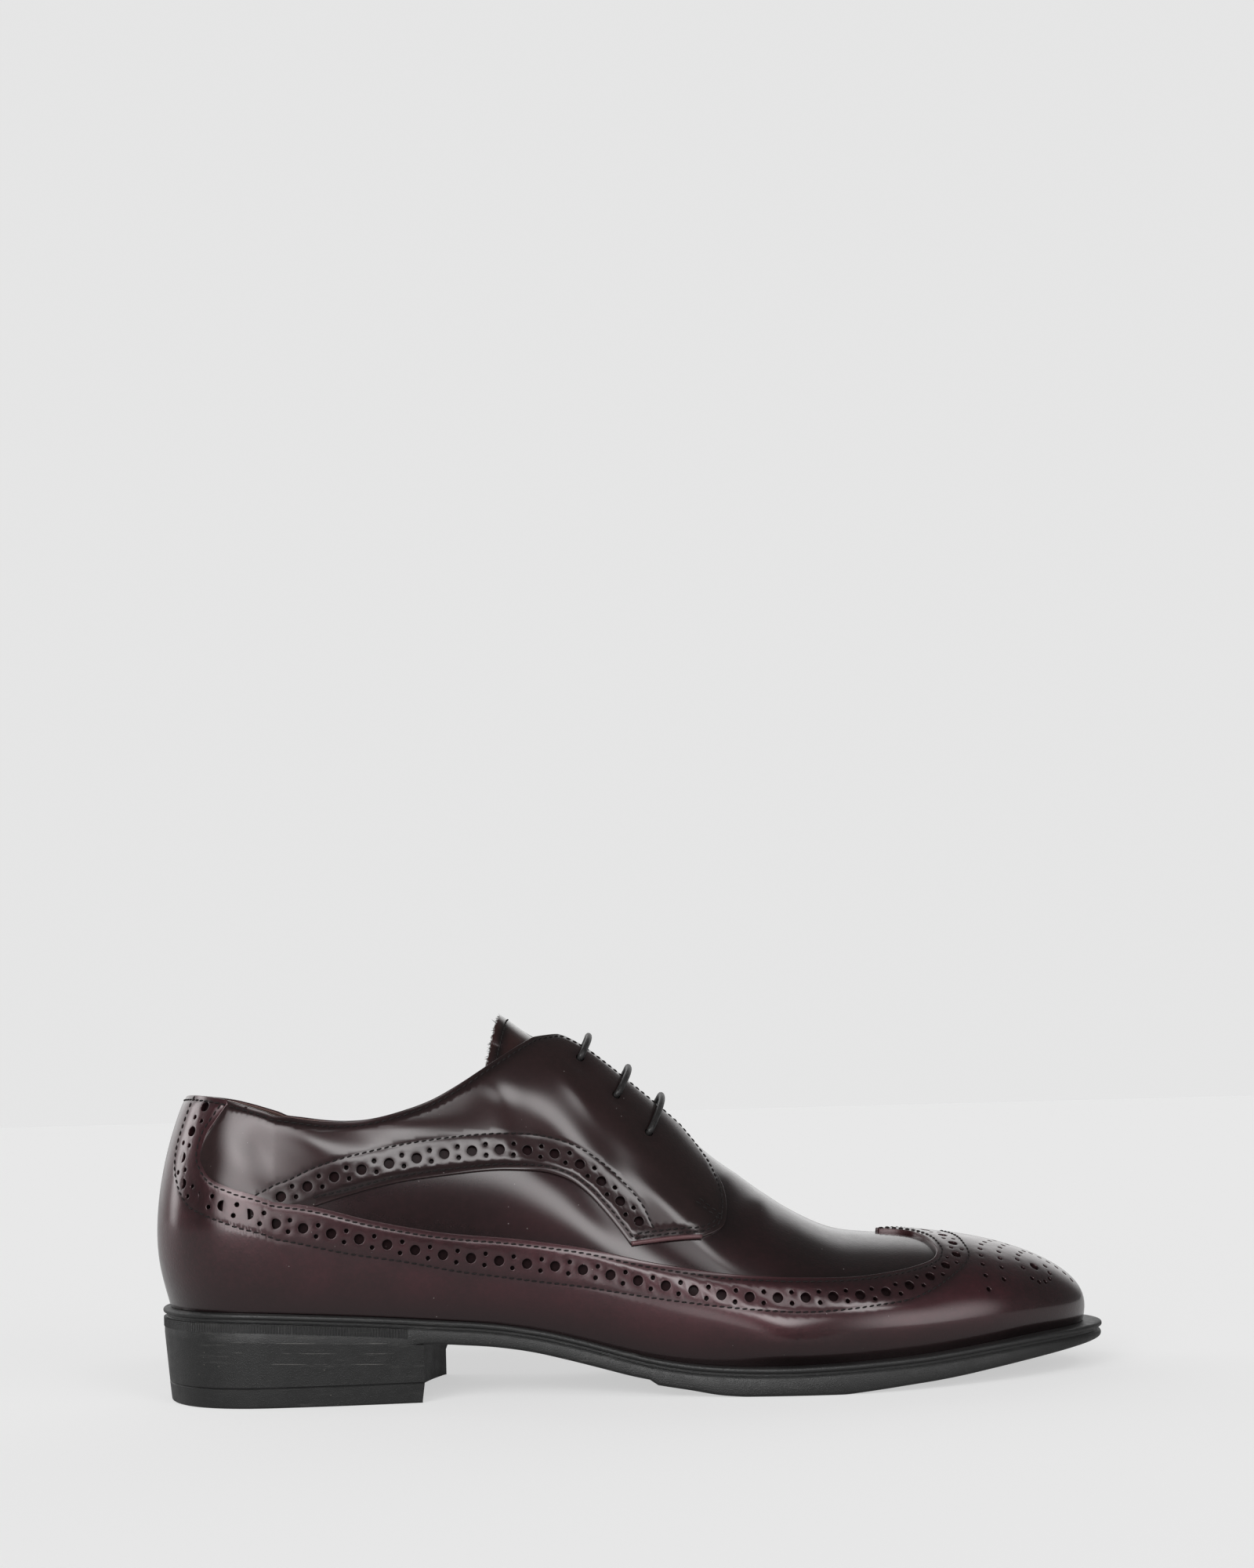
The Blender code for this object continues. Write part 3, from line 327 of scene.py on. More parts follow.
def ease_joins(grid):
    """Let the round ends run into the long sides over some millimetres, as in a turned last."""
    off = np.min([np.abs(run_round - TURNS[1]), np.abs(run_round - TURNS[2])], 0)
    near_ridge = np.clip((1 - np.linspace(0, 1, UP_STEPS + 1)) / 0.3, 0, 1)
    share = np.exp(-(off / JOIN_REACH) ** 2)[:, None] * near_ridge
    return grid + share[..., None] * (fair(grid, 4) - grid)


def build_grid():
    feather = SOLE_REACH - BALL_WIDTH * column(1, 2)
    widest = feather + BALL_WIDTH * column(3, 4)
    foot = fair(welt_height(SPINE[:, 0] + OUTWARD[:, 0] * feather) + CLEARANCE, 2)
    belly = foot + INSTEP_HEIGHT * column(5, 5)
    top = fair(INSTEP_HEIGHT * curve_through(RIDGE_PROFILE, SPINE[:, 0] / SHOE_LENGTH), 2)
    shoulder, inner = column(6, 6), column(7, 7) * widest
    slope = TOE_RIDGE_SLOPE * np.where(STATION > 2, OUTWARD[:, 0], 0) * inner
    swell = widest - feather
    low = [(feather, foot), (feather + 0.4 * swell, foot + 0.3 * (belly - foot)),
           (widest, belly - 0.45 * (belly - foot)), (widest, belly)]
    high = [(widest, belly), (widest, belly + shoulder * (top - belly)),
            (inner, top - slope), (np.zeros_like(top), top)]
    t = np.linspace(0, 1, 80)[:, None]
    weights = np.hstack([(1 - t) ** 3, 3 * t * (1 - t) ** 2, 3 * t * t * (1 - t), t ** 3])
    section = [np.vstack([weights @ np.array([p[axis] for p in part]) for part in (low, high)])
               for axis in (0, 1)]
    out, up = (np.delete(axis, 80, 0).T for axis in section)
    length = np.concatenate([np.zeros((ROUND_STEPS, 1)),
                             np.cumsum(np.hypot(np.diff(out), np.diff(up)), 1)], 1)
    girth = length[:, -1]
    even = np.empty((2, ROUND_STEPS, UP_STEPS + 1))
    for i in range(ROUND_STEPS):
        for axis, values in enumerate((out, up)):
            even[axis, i] = np.interp(np.linspace(0, girth[i], UP_STEPS + 1), length[i], values[i])
    plan = SPINE[:, None] + OUTWARD[:, None] * even[0][..., None]
    grid = np.concatenate([plan, even[1][..., None]], 2)
    for _ in range(6):
        longer = np.concatenate([2 * grid[:, :1] - grid[:, 1:2], grid,
                                 2 * grid[:, -1:] - grid[:, -2:-1]], 1)
        grid = (longer[:, :-2] + 2 * grid + longer[:, 2:]) / 4
    return ease_joins(grid), girth


GRID, GIRTH = build_grid()
PADDED = np.concatenate([2 * GRID[:, :1] - GRID[:, 1:2], GRID,
                         2 * GRID[:, -1:] - GRID[:, -2:-1]], 1)
print("last", GRID.shape, "girth at the ball", round(float(2 * GIRTH[180]), 4))

# %% [markdown]
# Polished leather shows every flaw of the form under it, so the grid is read with a cubic
# that passes through its points and never breaks in slope.

# %% Read the last at any place
def cubic_weights(t):
    return 0.5 * np.stack([-t + 2 * t ** 2 - t ** 3, 2 - 5 * t ** 2 + 3 * t ** 3,
                           t + 4 * t ** 2 - 3 * t ** 3, -t ** 2 + t ** 3])


def read_last(station, side, share):
    run = np.interp(station, (0, 1, 2, 3), TURNS)
    place = np.where(side < 0, run, 2 * HALF_ROUND - run) / STEP
    i = np.floor(place).astype(int)
    j = np.clip(np.floor(share * UP_STEPS).astype(int), 0, UP_STEPS - 1)
    over, up = cubic_weights(place - i), cubic_weights(share * UP_STEPS - j)
    point = 0.0
    for m in range(4):
        for n in range(4):
            row = np.clip(j + n, 0, UP_STEPS + 2)
            point = point + (over[m] * up[n])[..., None] * PADDED[(i + m - 1) % ROUND_STEPS, row]
    return point


def girth_at(station, side):
    run = np.interp(station, (0, 1, 2, 3), TURNS)
    place = np.where(side < 0, run, 2 * HALF_ROUND - run) / STEP
    return np.interp(place, np.arange(ROUND_STEPS + 1), np.append(GIRTH, GIRTH[0]))

# %% [markdown]
# A flat pattern point (x, y) lies on the last like paper: x runs along the ridge and y is the
# distance from the ridge over the surface, with both round ends laid out like fans.

# %% From the flat pattern to the last and back
def place_of(flat):
    x, y = np.asarray(flat, float).T
    side = np.where(y < 0, -1.0, 1.0)
    past = np.where(x < HEEL_TURN, x - HEEL_TURN, np.maximum(x - TOE_TURN, 0))
    turn = np.degrees(np.arctan2(past, np.abs(y))) / 90
    middle = 1 + (np.clip(x, HEEL_TURN, TOE_TURN) - HEEL_TURN) / SIDE_RUN
    station = np.where(past == 0, middle, np.where(past < 0, 1 + turn, 2 + turn))
    return station, side, np.hypot(past, y)


def surface(flat):
    station, side, away = place_of(flat)
    return read_last(station, side, 1 - away / girth_at(station, side))


def to_flat(station, side, share):
    station, side, share = np.broadcast_arrays(station, side, share)
    spine, outward = section_frames(station, side)
    away = girth_at(station, side) * (1 - share)
    return np.stack([spine[..., 0] + outward[..., 0] * away, outward[..., 1] * away], -1)


def height_over_welt(flat):
    station, side, away = place_of(flat)
    return girth_at(station, side) - away


def slopes(flat):
    h = 0.0006
    along = (surface(flat + (h, 0)) - surface(flat - (h, 0))) / (2 * h)
    across = (surface(flat + (0, h)) - surface(flat - (0, h))) / (2 * h)
    return along, across


def unit(vectors):
    return vectors / np.maximum(np.linalg.norm(vectors, axis=-1, keepdims=True), 1e-12)


def over(flat, level):
    flat = np.asarray(flat, float)
    return surface(flat) + unit(np.cross(*slopes(flat))) * np.reshape(level, (-1, 1))

# %% [markdown]
# The outlines of the leather pieces are drawn on the flat pattern, as a pattern cutter draws
# them. They repeat those of the solids, and the lacing panels run a little under the wing, as
# real panels do, so that no gap shows beside the seam.

# %% Outlines of the leather pieces
UNDERLAP = 0.0018


def ridge_x(station):
    return HEEL_TURN + (station - 1) * SIDE_RUN


def drawn_line(rows, side, count):
    station, share = line_through(rows, count).T
    return to_flat(station, side, share)


def topline(side, start=0.0, end=TOPLINE[-1][0], count=120):
    station = np.linspace(start, end, count)
    height = BACK_HEIGHT * curve_through(TOPLINE, station)
    share = np.linspace(0, 1, 201)
    grid = np.meshgrid(station, share, indexing="ij")
    rise = read_last(grid[0], np.full_like(grid[0], side), grid[1])[..., 2]
    share = np.array([np.interp(height[i], rise[i], share) for i in range(count)])
    return to_flat(station, side, share)


def facing(side, foot):
    half, top = THROAT_GAP / 2, ridge_x(FACING_TOP)
    corner = [(top - CORNER, side * (half + 0.6 * CORNER)),
              (top - 0.4 * CORNER, side * (half + 0.1 * CORNER))]
    return np.array(corner + [(x, side * half) for x in np.linspace(top, ridge_x(foot), 8)])


def collar_and_throat():
    foot = [(ridge_x(THROAT_FOOT) + 0.3 * THROAT_GAP, 0.0)]
    lateral = np.vstack([topline(-1), facing(-1, THROAT_FOOT)])
    medial = np.vstack([topline(1), facing(1, THROAT_FOOT)])
    return np.vstack([lateral, foot, medial[:0:-1]])


def wing_inner_edge():
    lateral, medial = (drawn_line(WING_EDGE, side, 400) for side in (-1, 1))
    back = {side: topline(side, 0.0, WING_EDGE[0][0])[:-1] for side in (-1, 1)}
    return np.vstack([back[-1], lateral, medial[-2::-1], back[1][:0:-1]])


def quarter_outline(side):
    under = line_through(WING_EDGE, 900)
    met = np.argmin(np.abs(under[:, 0] - BAND_EDGE[-1][0]) + (under[:, 0] < 0.7) * 9)
    station, share = under[:met].T
    lap = UNDERLAP / girth_at(station, side)
    seam = to_flat(station - UNDERLAP / HEEL_RUN, side, share - lap)
    top = topline(side, WING_EDGE[0][0] - UNDERLAP / HEEL_RUN)
    band = BAND_EDGE[:-1] + ((BAND_EDGE[-1][0] - 0.02, BAND_EDGE[-1][1] - 0.022),)
    return np.vstack([top, facing(side, FACING_FOOT), drawn_line(FRONT_EDGE, side, 60),
                      drawn_line(BAND_END, side, 30), drawn_line(band, side, 150)[1:-1],
                      seam[::-4]])


def welt_line(rise=0.0, count=640):
    run = np.linspace(0, HALF_ROUND, count // 2)
    station = np.interp(run, TURNS, (0, 1, 2, 3))
    lateral, medial = (to_flat(station, s, rise / girth_at(station, s)) for s in (-1, 1))
    return np.vstack([lateral, medial[-2:0:-1]])

# %% [markdown]
# Seams, edges and holes all press the leather down near them. A map of distances on the flat
# pattern, filled once for each line, answers how far any point is from it.

# %% Distance maps on the flat pattern
MAP_STEP = 0.00025
MAP_CORNER = np.array([-0.080, -0.135])
MAP_CELLS = (1616, 1080)


def distance_map(lines, reach):
    """Distance to drawn lines, up to a reach, worked out once on a fine raster."""
    far = np.full(MAP_CELLS, (reach / MAP_STEP) ** 2)
    span = int(reach / MAP_STEP) + 2
    for line in lines:
        place = (line - MAP_CORNER) / MAP_STEP
        for (x, y), (dx, dy) in zip(place[:-1], np.diff(place, axis=0)):
            low_x, high_x = sorted((int(x), int(x + dx)))
            low_y, high_y = sorted((int(y), int(y + dy)))
            a = np.arange(max(low_x - span, 0), min(high_x + span, MAP_CELLS[0] - 1) + 1)[:, None]
            b = np.arange(max(low_y - span, 0), min(high_y + span, MAP_CELLS[1] - 1) + 1)[None]
            if a.size and b.size:
                t = np.clip(((a - x) * dx + (b - y) * dy) / max(dx * dx + dy * dy, 1e-9), 0, 1)
                block = far[a[0, 0]:a[-1, 0] + 1, b[0, 0]:b[0, -1] + 1]
                np.minimum(block, (a - x - t * dx) ** 2 + (b - y - t * dy) ** 2, out=block)

    def at(flat):
        place = np.clip((flat - MAP_CORNER) / MAP_STEP, 0, np.array(MAP_CELLS) - 1.001)
        i, j = np.floor(place).astype(int).T
        u, v = (place - np.floor(place)).T
        low = far[i, j] * (1 - u) + far[i + 1, j] * u
        square = low * (1 - v) + (far[i, j + 1] * (1 - u) + far[i + 1, j + 1] * u) * v
        return np.sqrt(square) * MAP_STEP
    return at


def spots(points):
    """Points as lines without length, for a distance map."""
    return [np.array([point, point]) for point in points]


def ring_line(loop):
    return np.vstack([loop, loop[:1]])


def even_line(loop, spacing):
    """Keep the corners of a closed flat line, and even points between them over the last."""
    solid = surface(loop)
    ahead, back = np.roll(solid, -1, 0) - solid, solid - np.roll(solid, 1, 0)
    lengths = np.linalg.norm(ahead, axis=1)
    turn = (unit(ahead) * unit(back)).sum(1)
    corners = np.flatnonzero(turn < cos(radians(28)))
    if not len(corners):
        corners = np.array([0])
    loop, lengths = np.roll(loop, -corners[0], 0), np.roll(lengths, -corners[0])
    corners = np.append(corners - corners[0], len(loop))
    run = np.concatenate([[0], np.cumsum(lengths)])
    closed = np.vstack([loop, loop[:1]])
    kept = []
    for start, end in zip(corners[:-1], corners[1:]):
        count = max(1, round((run[end] - run[start]) / spacing))
        places = np.linspace(run[start], run[end], count + 1)[:-1]
        kept += [[np.interp(place, run, axis) for axis in closed.T] for place in places]
    return np.array(kept)


def measured_line(flat, spacing, level=0.0015):
    """Points of an open flat line at an even spacing over the leather."""
    solid = over(flat, level)
    run = np.concatenate([[0], np.cumsum(np.linalg.norm(np.diff(solid, axis=0), axis=1))])
    places = np.linspace(0, run[-1], max(2, round(run[-1] / spacing) + 1))
    return np.stack([np.interp(places, run, axis) for axis in flat.T], 1)


def beside(flat, distance):
    """A flat line moved sideways by a true distance over the last, to its left if positive."""
    along, across = slopes(flat)
    step = np.gradient(flat, axis=0)
    solid_step = along * step[:, :1] + across * step[:, 1:]
    facing_out = unit(np.cross(along, across))
    left = unit(np.cross(facing_out, solid_step)) * distance
    a, b, c = (along * along).sum(1), (along * across).sum(1), (across * across).sum(1)
    p, q = (left * along).sum(1), (left * across).sum(1)
    area = a * c - b * b
    return flat + np.stack([(c * p - b * q) / area, (a * q - b * p) / area], 1)

# %% [markdown]
# A hole punched in leather is round on the shoe, so its ring is mapped back to the pattern
# with the local stretch of the last. Every ring takes part in the cutting of the sheet.

# %% Round holes, mapped to the pattern
def rings_round(centres, radius, count):
    along, across = slopes(centres)
    a, b, c = (along * along).sum(1), (along * across).sum(1), (across * across).sum(1)
    area = np.sqrt(a * c - b * b)
    size = area * np.sqrt(a + c + 2 * area)
    angle = (np.arange(count) + 0.5) * 2 * pi / count
    u, v = radius * np.cos(angle), radius * np.sin(angle)
    x = ((c + area)[:, None] * u - b[:, None] * v) / size[:, None]
    y = ((a + area)[:, None] * v - b[:, None] * u) / size[:, None]
    return centres[:, None] + np.stack([x, y], 2)


def inside(points, loops):
    hit = np.zeros(len(points), bool)
    x, y = points.T
    for loop in loops:
        for (x0, y0), (x1, y1) in zip(loop, np.roll(loop, -1, 0)):
            if y0 != y1:
                spans = (y0 > y) != (y1 > y)
                hit ^= spans & (x < x0 + (y - y0) * (x1 - x0) / (y1 - y0))
    return hit

# %% [markdown]
# The sheet is cut by constrained Delaunay triangulation: even points fill the outline, and
# the edges of outline and holes are kept as they are. Lines of points along the seams let the
# leather dip there.

# %% Cut a sheet of leather from the pattern
LATTICE = 0.0015
EDGE_SPACING = 0.0012


def cut_sheet(outlines, rings=(), rows=(), spacing=LATTICE):
    """Flat points, triangles, and the number of the hole that each point rims, or -1."""
    outlines = [even_line(loop, EDGE_SPACING) for loop in outlines]
    rings = [ring for group in rings for ring in group]
    loops = list(outlines) + list(rings)
    border = np.vstack(loops)
    mark = np.concatenate([np.full(len(loop), -2 if k < len(outlines) else k)
                           for k, loop in enumerate(loops)])
    extra = np.vstack(list(rows)) if len(rows) else np.zeros((0, 2))
    low, high = border.min(0), border.max(0)
    rise = spacing * 0.866
    field = [np.stack([np.arange(low[0] + (k % 2) * spacing / 2, high[0], spacing),
                       np.full(len(np.arange(low[0] + (k % 2) * spacing / 2, high[0], spacing)),
                               low[1] + k * rise)], 1)
             for k in range(int((high[1] - low[1]) / rise) + 1)]
    field = np.vstack(field)
    near_border = distance_map(spots(border), spacing)
    extra = extra[near_border(extra) > 0.35 * spacing] if len(extra) else extra
    near = distance_map(spots(extra), spacing)
    field = field[(near_border(field) > 0.55 * spacing) & (near(field) > 0.5 * spacing)]
    field = np.vstack([field, extra])
    field = field[inside(field, outlines)]
    centres = np.array([ring.mean(0) for ring in rings]).reshape(-1, 2)
    if len(centres):
        reach = np.array([np.hypot(*(ring - ring.mean(0)).T).min() for ring in rings])
        for centre, radius in zip(centres, reach):
            field = field[np.hypot(*(field - centre).T) > radius]
    points = np.vstack([border, field])
    edges, start = [], 0
    for loop in loops:
        edges += [(start + i, start + (i + 1) % len(loop)) for i in range(len(loop))]
        start += len(loop)
    given = [Vector(point) for point in points]
    flat, _, faces, source = geometry.delaunay_2d_cdt(given, edges, [], 0, 1e-8, True)[:4]
    flat, faces = np.array([tuple(p) for p in flat]), np.array(faces)
    mark = np.append(mark, np.full(len(field), -1))
    mark = np.array([mark[ids[0]] if ids else -1 for ids in source])
    corners = mark[faces]
    same_hole = (corners[:, 0] >= 0) & (corners[:, 0] == corners[:, 1]) & (
        corners[:, 0] == corners[:, 2])
    faces = faces[~same_hole]
    on_edge = (mark[faces] == -2).all(1)
    outside = np.zeros(len(faces), bool)
    outside[on_edge] = ~inside(flat[faces[on_edge]].mean(1), outlines)
    faces = faces[~outside]
    a, b, c = (flat[faces[:, k]] for k in range(3))
    turn = (b - a)[:, 0] * (c - a)[:, 1] - (b - a)[:, 1] * (c - a)[:, 0]
    faces[turn < 0] = faces[turn < 0][:, ::-1]
    faces = faces[np.abs(turn) > 1e-12]
    return flat, faces, mark

# %% [markdown]
# Laying a sheet over the last gives each point its place and the way it faces. The facing is
# worked out from the form, not from the triangles, so a fine polish shows no facets. Cut edges
# and holes get a turned rim: a few rows that roll over and go down into the layer below.

# %% Lay a sheet over the last and turn its edges down
EDGE_TURN = (
    # out, down, tilt
    (0.00010, 0.00002, 22), (0.00022, 0.00010, 52), (0.00030, 0.00030, 80),
)
HOLE_TURN = (
    # out, down, tilt
    (0.00009, 0.00002, 22), (0.00017, 0.00009, 58), (0.00021, 0.00024, 84),
)


def lay(flat, level_of):
    h = MAP_STEP
    along, across = slopes(flat)
    outward = np.cross(along, across)
    up = unit(outward)
    level = level_of(flat)
    rise_x = (level_of(flat + (h, 0)) - level_of(flat - (h, 0))) / (2 * h)
    rise_y = (level_of(flat + (0, h)) - level_of(flat - (0, h))) / (2 * h)
    tilted = outward + rise_x[:, None] * np.cross(up, across) + (
        rise_y[:, None] * np.cross(along, up))
    return surface(flat) + up * level[:, None], unit(tilted), level


def border_edges(faces):
    """Edges of triangles that only one triangle uses, in its own direction."""
    ends = np.concatenate([faces[:, (0, 1)], faces[:, (1, 2)], faces[:, (2, 0)]])
    key = np.sort(ends, 1) @ np.array([1 << 32, 1])
    _, first, count = np.unique(key, return_index=True, return_counts=True)
    return ends[first[count == 1]]


def turned_rim(points, facing_out, faces, mark, depth, edge_turn=EDGE_TURN, hole_turn=HOLE_TURN):
    """Rows of points that roll every border down by the depth given at each point."""
    edges = border_edges(faces)
    way = np.cross(unit(points[edges[:, 1]] - points[edges[:, 0]]),
                   facing_out[edges[:, 0]] + facing_out[edges[:, 1]])
    outward = np.zeros_like(points)
    np.add.at(outward, edges[:, 0], way)
    np.add.at(outward, edges[:, 1], way)
    rim = np.unique(edges)
    outward = unit(outward[rim])
    slot = np.full(len(points), -1)
    slot[rim] = np.arange(len(rim))
    hole = (mark[rim] >= 0)[:, None]
    out_dir, up = outward, facing_out[rim]
    out_dir = unit(out_dir - up * (out_dir * up).sum(1, keepdims=True))
    rows, row_facing = [], []
    steps = [(np.where(hole, h[0], e[0]), np.where(hole, h[1], e[1]), np.where(hole, h[2], e[2]))
             for e, h in zip(edge_turn, hole_turn)]
    deep = depth[rim][:, None]
    steps.append((steps[-1][0], np.maximum(deep, steps[-1][1] + 0.00005), steps[-1][2] * 0 + 90))
    for out, down, tilt in steps:
        tilt = np.radians(tilt)
        rows.append(points[rim] + out_dir * out - up * down)
        row_facing.append(unit(up * np.cos(tilt) + out_dir * np.sin(tilt)))
    start, count = len(points), len(rim)
    quads, previous = [], edges
    for k in range(len(rows)):
        current = start + k * count + slot[edges]
        quads.append(np.column_stack([previous[:, 1], previous[:, 0], current[:, 0],
                                      current[:, 1]]))
        previous = current
    return np.vstack(rows), np.vstack(row_facing), np.vstack(quads), rim, len(rows)

# %% [markdown]
# Every piece is one mesh with the facings worked out above. Values ride on its points for the
# finishes to read: how dark the polish is burnished beside seams and holes, with painted shade in
# the stitch grooves and towards the welt; whether it is a cut edge; and painted shade in the holes
# and on hidden backing.

# %% Make a piece
pieces = {}


def make_piece(name, points, faces, facing_out=None, values=(), replaces=()):
    mesh = bpy.data.meshes.new(name)
    mesh.from_pydata((points - (ORIGIN_FROM_BACK, 0, 0)).tolist(), [], faces)
    for label, numbers in dict(values).items():
        layer = mesh.attributes.new(label, "FLOAT", "POINT")
        layer.data.foreach_set("value", np.asarray(numbers, np.float32))
    mesh.shade_smooth()
    if facing_out is not None:
        mesh.normals_split_custom_set_from_vertices(facing_out.tolist())
    piece = bpy.data.objects.new(name, mesh)
    bpy.context.scene.collection.objects.link(piece)
    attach(piece, "root")
    if replaces:
        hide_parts(*replaces)
    pieces[name] = piece
    triangles = sum(len(face) - 2 for face in faces)
    print(name, len(points), "points", triangles, "triangles")
    return piece


def leather_piece(name, outlines, level_of, shade_of, rings=(), rows=(), depth=None, replaces=(),
                  backing=None):
    flat, faces, mark = cut_sheet(outlines, rings, rows)
    points, facing_out, level = lay(flat, level_of)
    deep = level + 0.00005 if depth is None else np.full(len(level), depth)
    turned, turned_facing, quads, rim, turns = turned_rim(points, facing_out, faces, mark, deep)
    shade = shade_of(flat)
    steps = np.repeat((np.arange(turns) + 1) / turns, len(rim))
    of_hole = np.tile(mark[rim] >= 0, turns)
    # The third value is painted shade, near black: on backing that lies under another leather, and down the
    # walls of each hole, darker deeper down.
    bare = backing(flat) if backing else np.zeros(len(flat))
    values = {
        "shade": np.concatenate([shade, np.tile(shade[rim], turns)]),
        "edge": np.concatenate([np.zeros(len(flat)), np.where(of_hole, 0, steps)]),
        "hole_and_backing_shade": np.concatenate([bare, np.where(of_hole, np.clip(steps * 1.6 - 0.6, 0, 1), 0)]),
    }
    return make_piece(name, np.vstack([points, turned]), faces.tolist() + quads.tolist(),
                      np.vstack([facing_out, turned_facing]), values, replaces)

# %% [markdown]
# The perforations follow the seams: big holes at an even pitch, and a pair of small ones
# between each two. The toe carries a medallion of small holes in arcs round two big ones.

# %% Where the holes and the rows of stitches run
BIG_HOLE = 0.00150
SMALL_HOLE = 0.00066
MEDALLION_HOLE = 0.00076
HOLE_PITCH = 0.0086
PAIR_SPREAD = 0.0017
WING_HOLES = (
    # station, share
    (0.488, 0.590), (0.430, 0.523), (0.385, 0.450), (0.420, 0.370), (0.530, 0.337),
    (0.764, 0.297), (1.014, 0.253), (1.124, 0.213), (1.244, 0.180), (1.328, 0.178),
    (1.430, 0.200), (1.542, 0.228), (1.658, 0.247), (1.772, 0.273), (1.846, 0.294),
    (1.916, 0.367), (1.946, 0.440), (1.970, 0.530), (1.977, 0.700), (1.966, 0.880),
    (1.945, 1.000),
)
WING_STITCHES = (
    # station, share
    (0.318, 0.615), (0.296, 0.523), (0.288, 0.477), (0.304, 0.430), (0.374, 0.363),
    (0.480, 0.305), (0.590, 0.280), (0.780, 0.247), (1.012, 0.210), (1.096, 0.177),
    (1.182, 0.157), (1.268, 0.137), (1.356, 0.137), (1.442, 0.157), (1.528, 0.183),
    (1.614, 0.200), (1.742, 0.207), (1.832, 0.233), (1.880, 0.253), (1.918, 0.300),
    (1.946, 0.357), (1.968, 0.417), (1.990, 0.517), (1.998, 0.677), (1.996, 0.840),
    (1.985, 1.000),
)
BAND_HOLES = (
    # station, share
    (1.010, 0.333), (1.084, 0.387), (1.162, 0.427), (1.240, 0.460), (1.322, 0.487),
    (1.362, 0.500), (1.398, 0.508), (1.430, 0.497), (1.456, 0.473), (1.480, 0.440),
    (1.506, 0.400),
)
BAND_STITCHES = (
    # station, share
    (0.906, 0.340), (1.012, 0.373), (1.056, 0.413), (1.142, 0.463), (1.230, 0.500),
    (1.318, 0.530), (1.384, 0.552), (1.428, 0.547), (1.470, 0.523), (1.492, 0.497),
    (1.512, 0.457), (1.522, 0.415), (1.525, 0.402),
)
BAR_TACK = (
    # station, share: two short rows that hold the foot of the lacing edge
    ((1.598, 0.575), (1.624, 0.553)), ((1.593, 0.555), (1.619, 0.533)),
)
MEDALLION = (
    # holes, and points of the line that they follow, from the side to the ridge
    (10, ((0.2574, 0.0399), (0.2580, 0.0294), (0.2607, 0.0172), (0.2677, 0.0065), (0.2723, 0.0004))),
    (8, ((0.2641, 0.0341), (0.2648, 0.0264), (0.2669, 0.0172), (0.2718, 0.0082), (0.2762, 0.0018))),
    (6, ((0.2762, 0.0278), (0.2722, 0.0223), (0.2735, 0.0174), (0.2780, 0.0092))),
    (6, ((0.2808, 0.0082), (0.2857, 0.0098), (0.2954, 0.0118))),
    (5, ((0.2836, 0.0165), (0.2846, 0.0212), (0.2820, 0.0256), (0.2791, 0.0276))),
)
MEDALLION_HEART = (0.2785, 0.0207)


def punched_line(rows, side, skip_last=False):
    """Big holes along a drawn line, and pairs of small ones between them."""
    line = measured_line(drawn_line(rows, side, 400), HOLE_PITCH / 2)
    big, between = line[::2], line[1::2]
    pairs = [beside(line, shift)[1::2] for shift in (-PAIR_SPREAD, PAIR_SPREAD)]
    return (big[:-1] if skip_last else big), np.vstack(pairs)


def medallion(side):
    small = [line_through(points, count) for count, points in MEDALLION]
    small = np.vstack(small) * (1, side)
    return np.array([MEDALLION_HEART]) * (1, side), small[np.abs(small[:, 1]) > 0.0006]

# %% [markdown]
# The levels say how high the face of each leather lies over the last. Leather is skived thin
# at its edges, pulled down along each row of stitches, and dished round each punched hole.

# %% Levels of the leather
WING_LEVEL = 0.0018
QUARTER_LEVEL = 0.0015
SKIVED = 0.0004
SKIVE_REACH = 0.0034
SEAM_DEPTH = 0.00005
SEAM_REACH = 0.00065
DISH_DEPTH = 0.00005


def leather_level(thick, edge_map, seam_map, hole_map, shape_of=None, thin=SKIVED):
    def level_of(flat):
        edge = np.clip(edge_map(flat) / SKIVE_REACH, 0, 1)
        level = thick - thin * (1 - edge * (2 - edge)) ** 1.0
        level = level - SEAM_DEPTH * np.exp(-(seam_map(flat) / SEAM_REACH) ** 2)
        level = level - DISH_DEPTH * np.exp(-hole_map(flat) / 0.0007)
        return level + (shape_of(flat) if shape_of else 0)
    return level_of


def seam_rows(rows):
    """Each row of stitches with a row of points on either side, so that the dip is even."""
    return [beside(row, shift) if shift else row for row in rows for shift in (-0.0005, 0, 0.0005)]


def hole_rows(groups):
    """Rings of extra points a little outside each ring of holes, for the dish."""
    return [rings_round(centres, radius + 0.0009, 10 if radius < 0.001 else 16).reshape(-1, 2)
            for centres, radius in groups]


def hole_rings(groups):
    return [rings_round(centres, radius + HOLE_TURN[-1][0], 8 if radius < 0.001 else 18)
            for centres, radius in groups]


def hole_distance(groups):
    maps = [(distance_map(spots(centres), radius + 0.004), radius) for centres, radius in groups]
    return lambda flat: np.min([np.maximum(at(flat) - radius, 0) for at, radius in maps], 0)


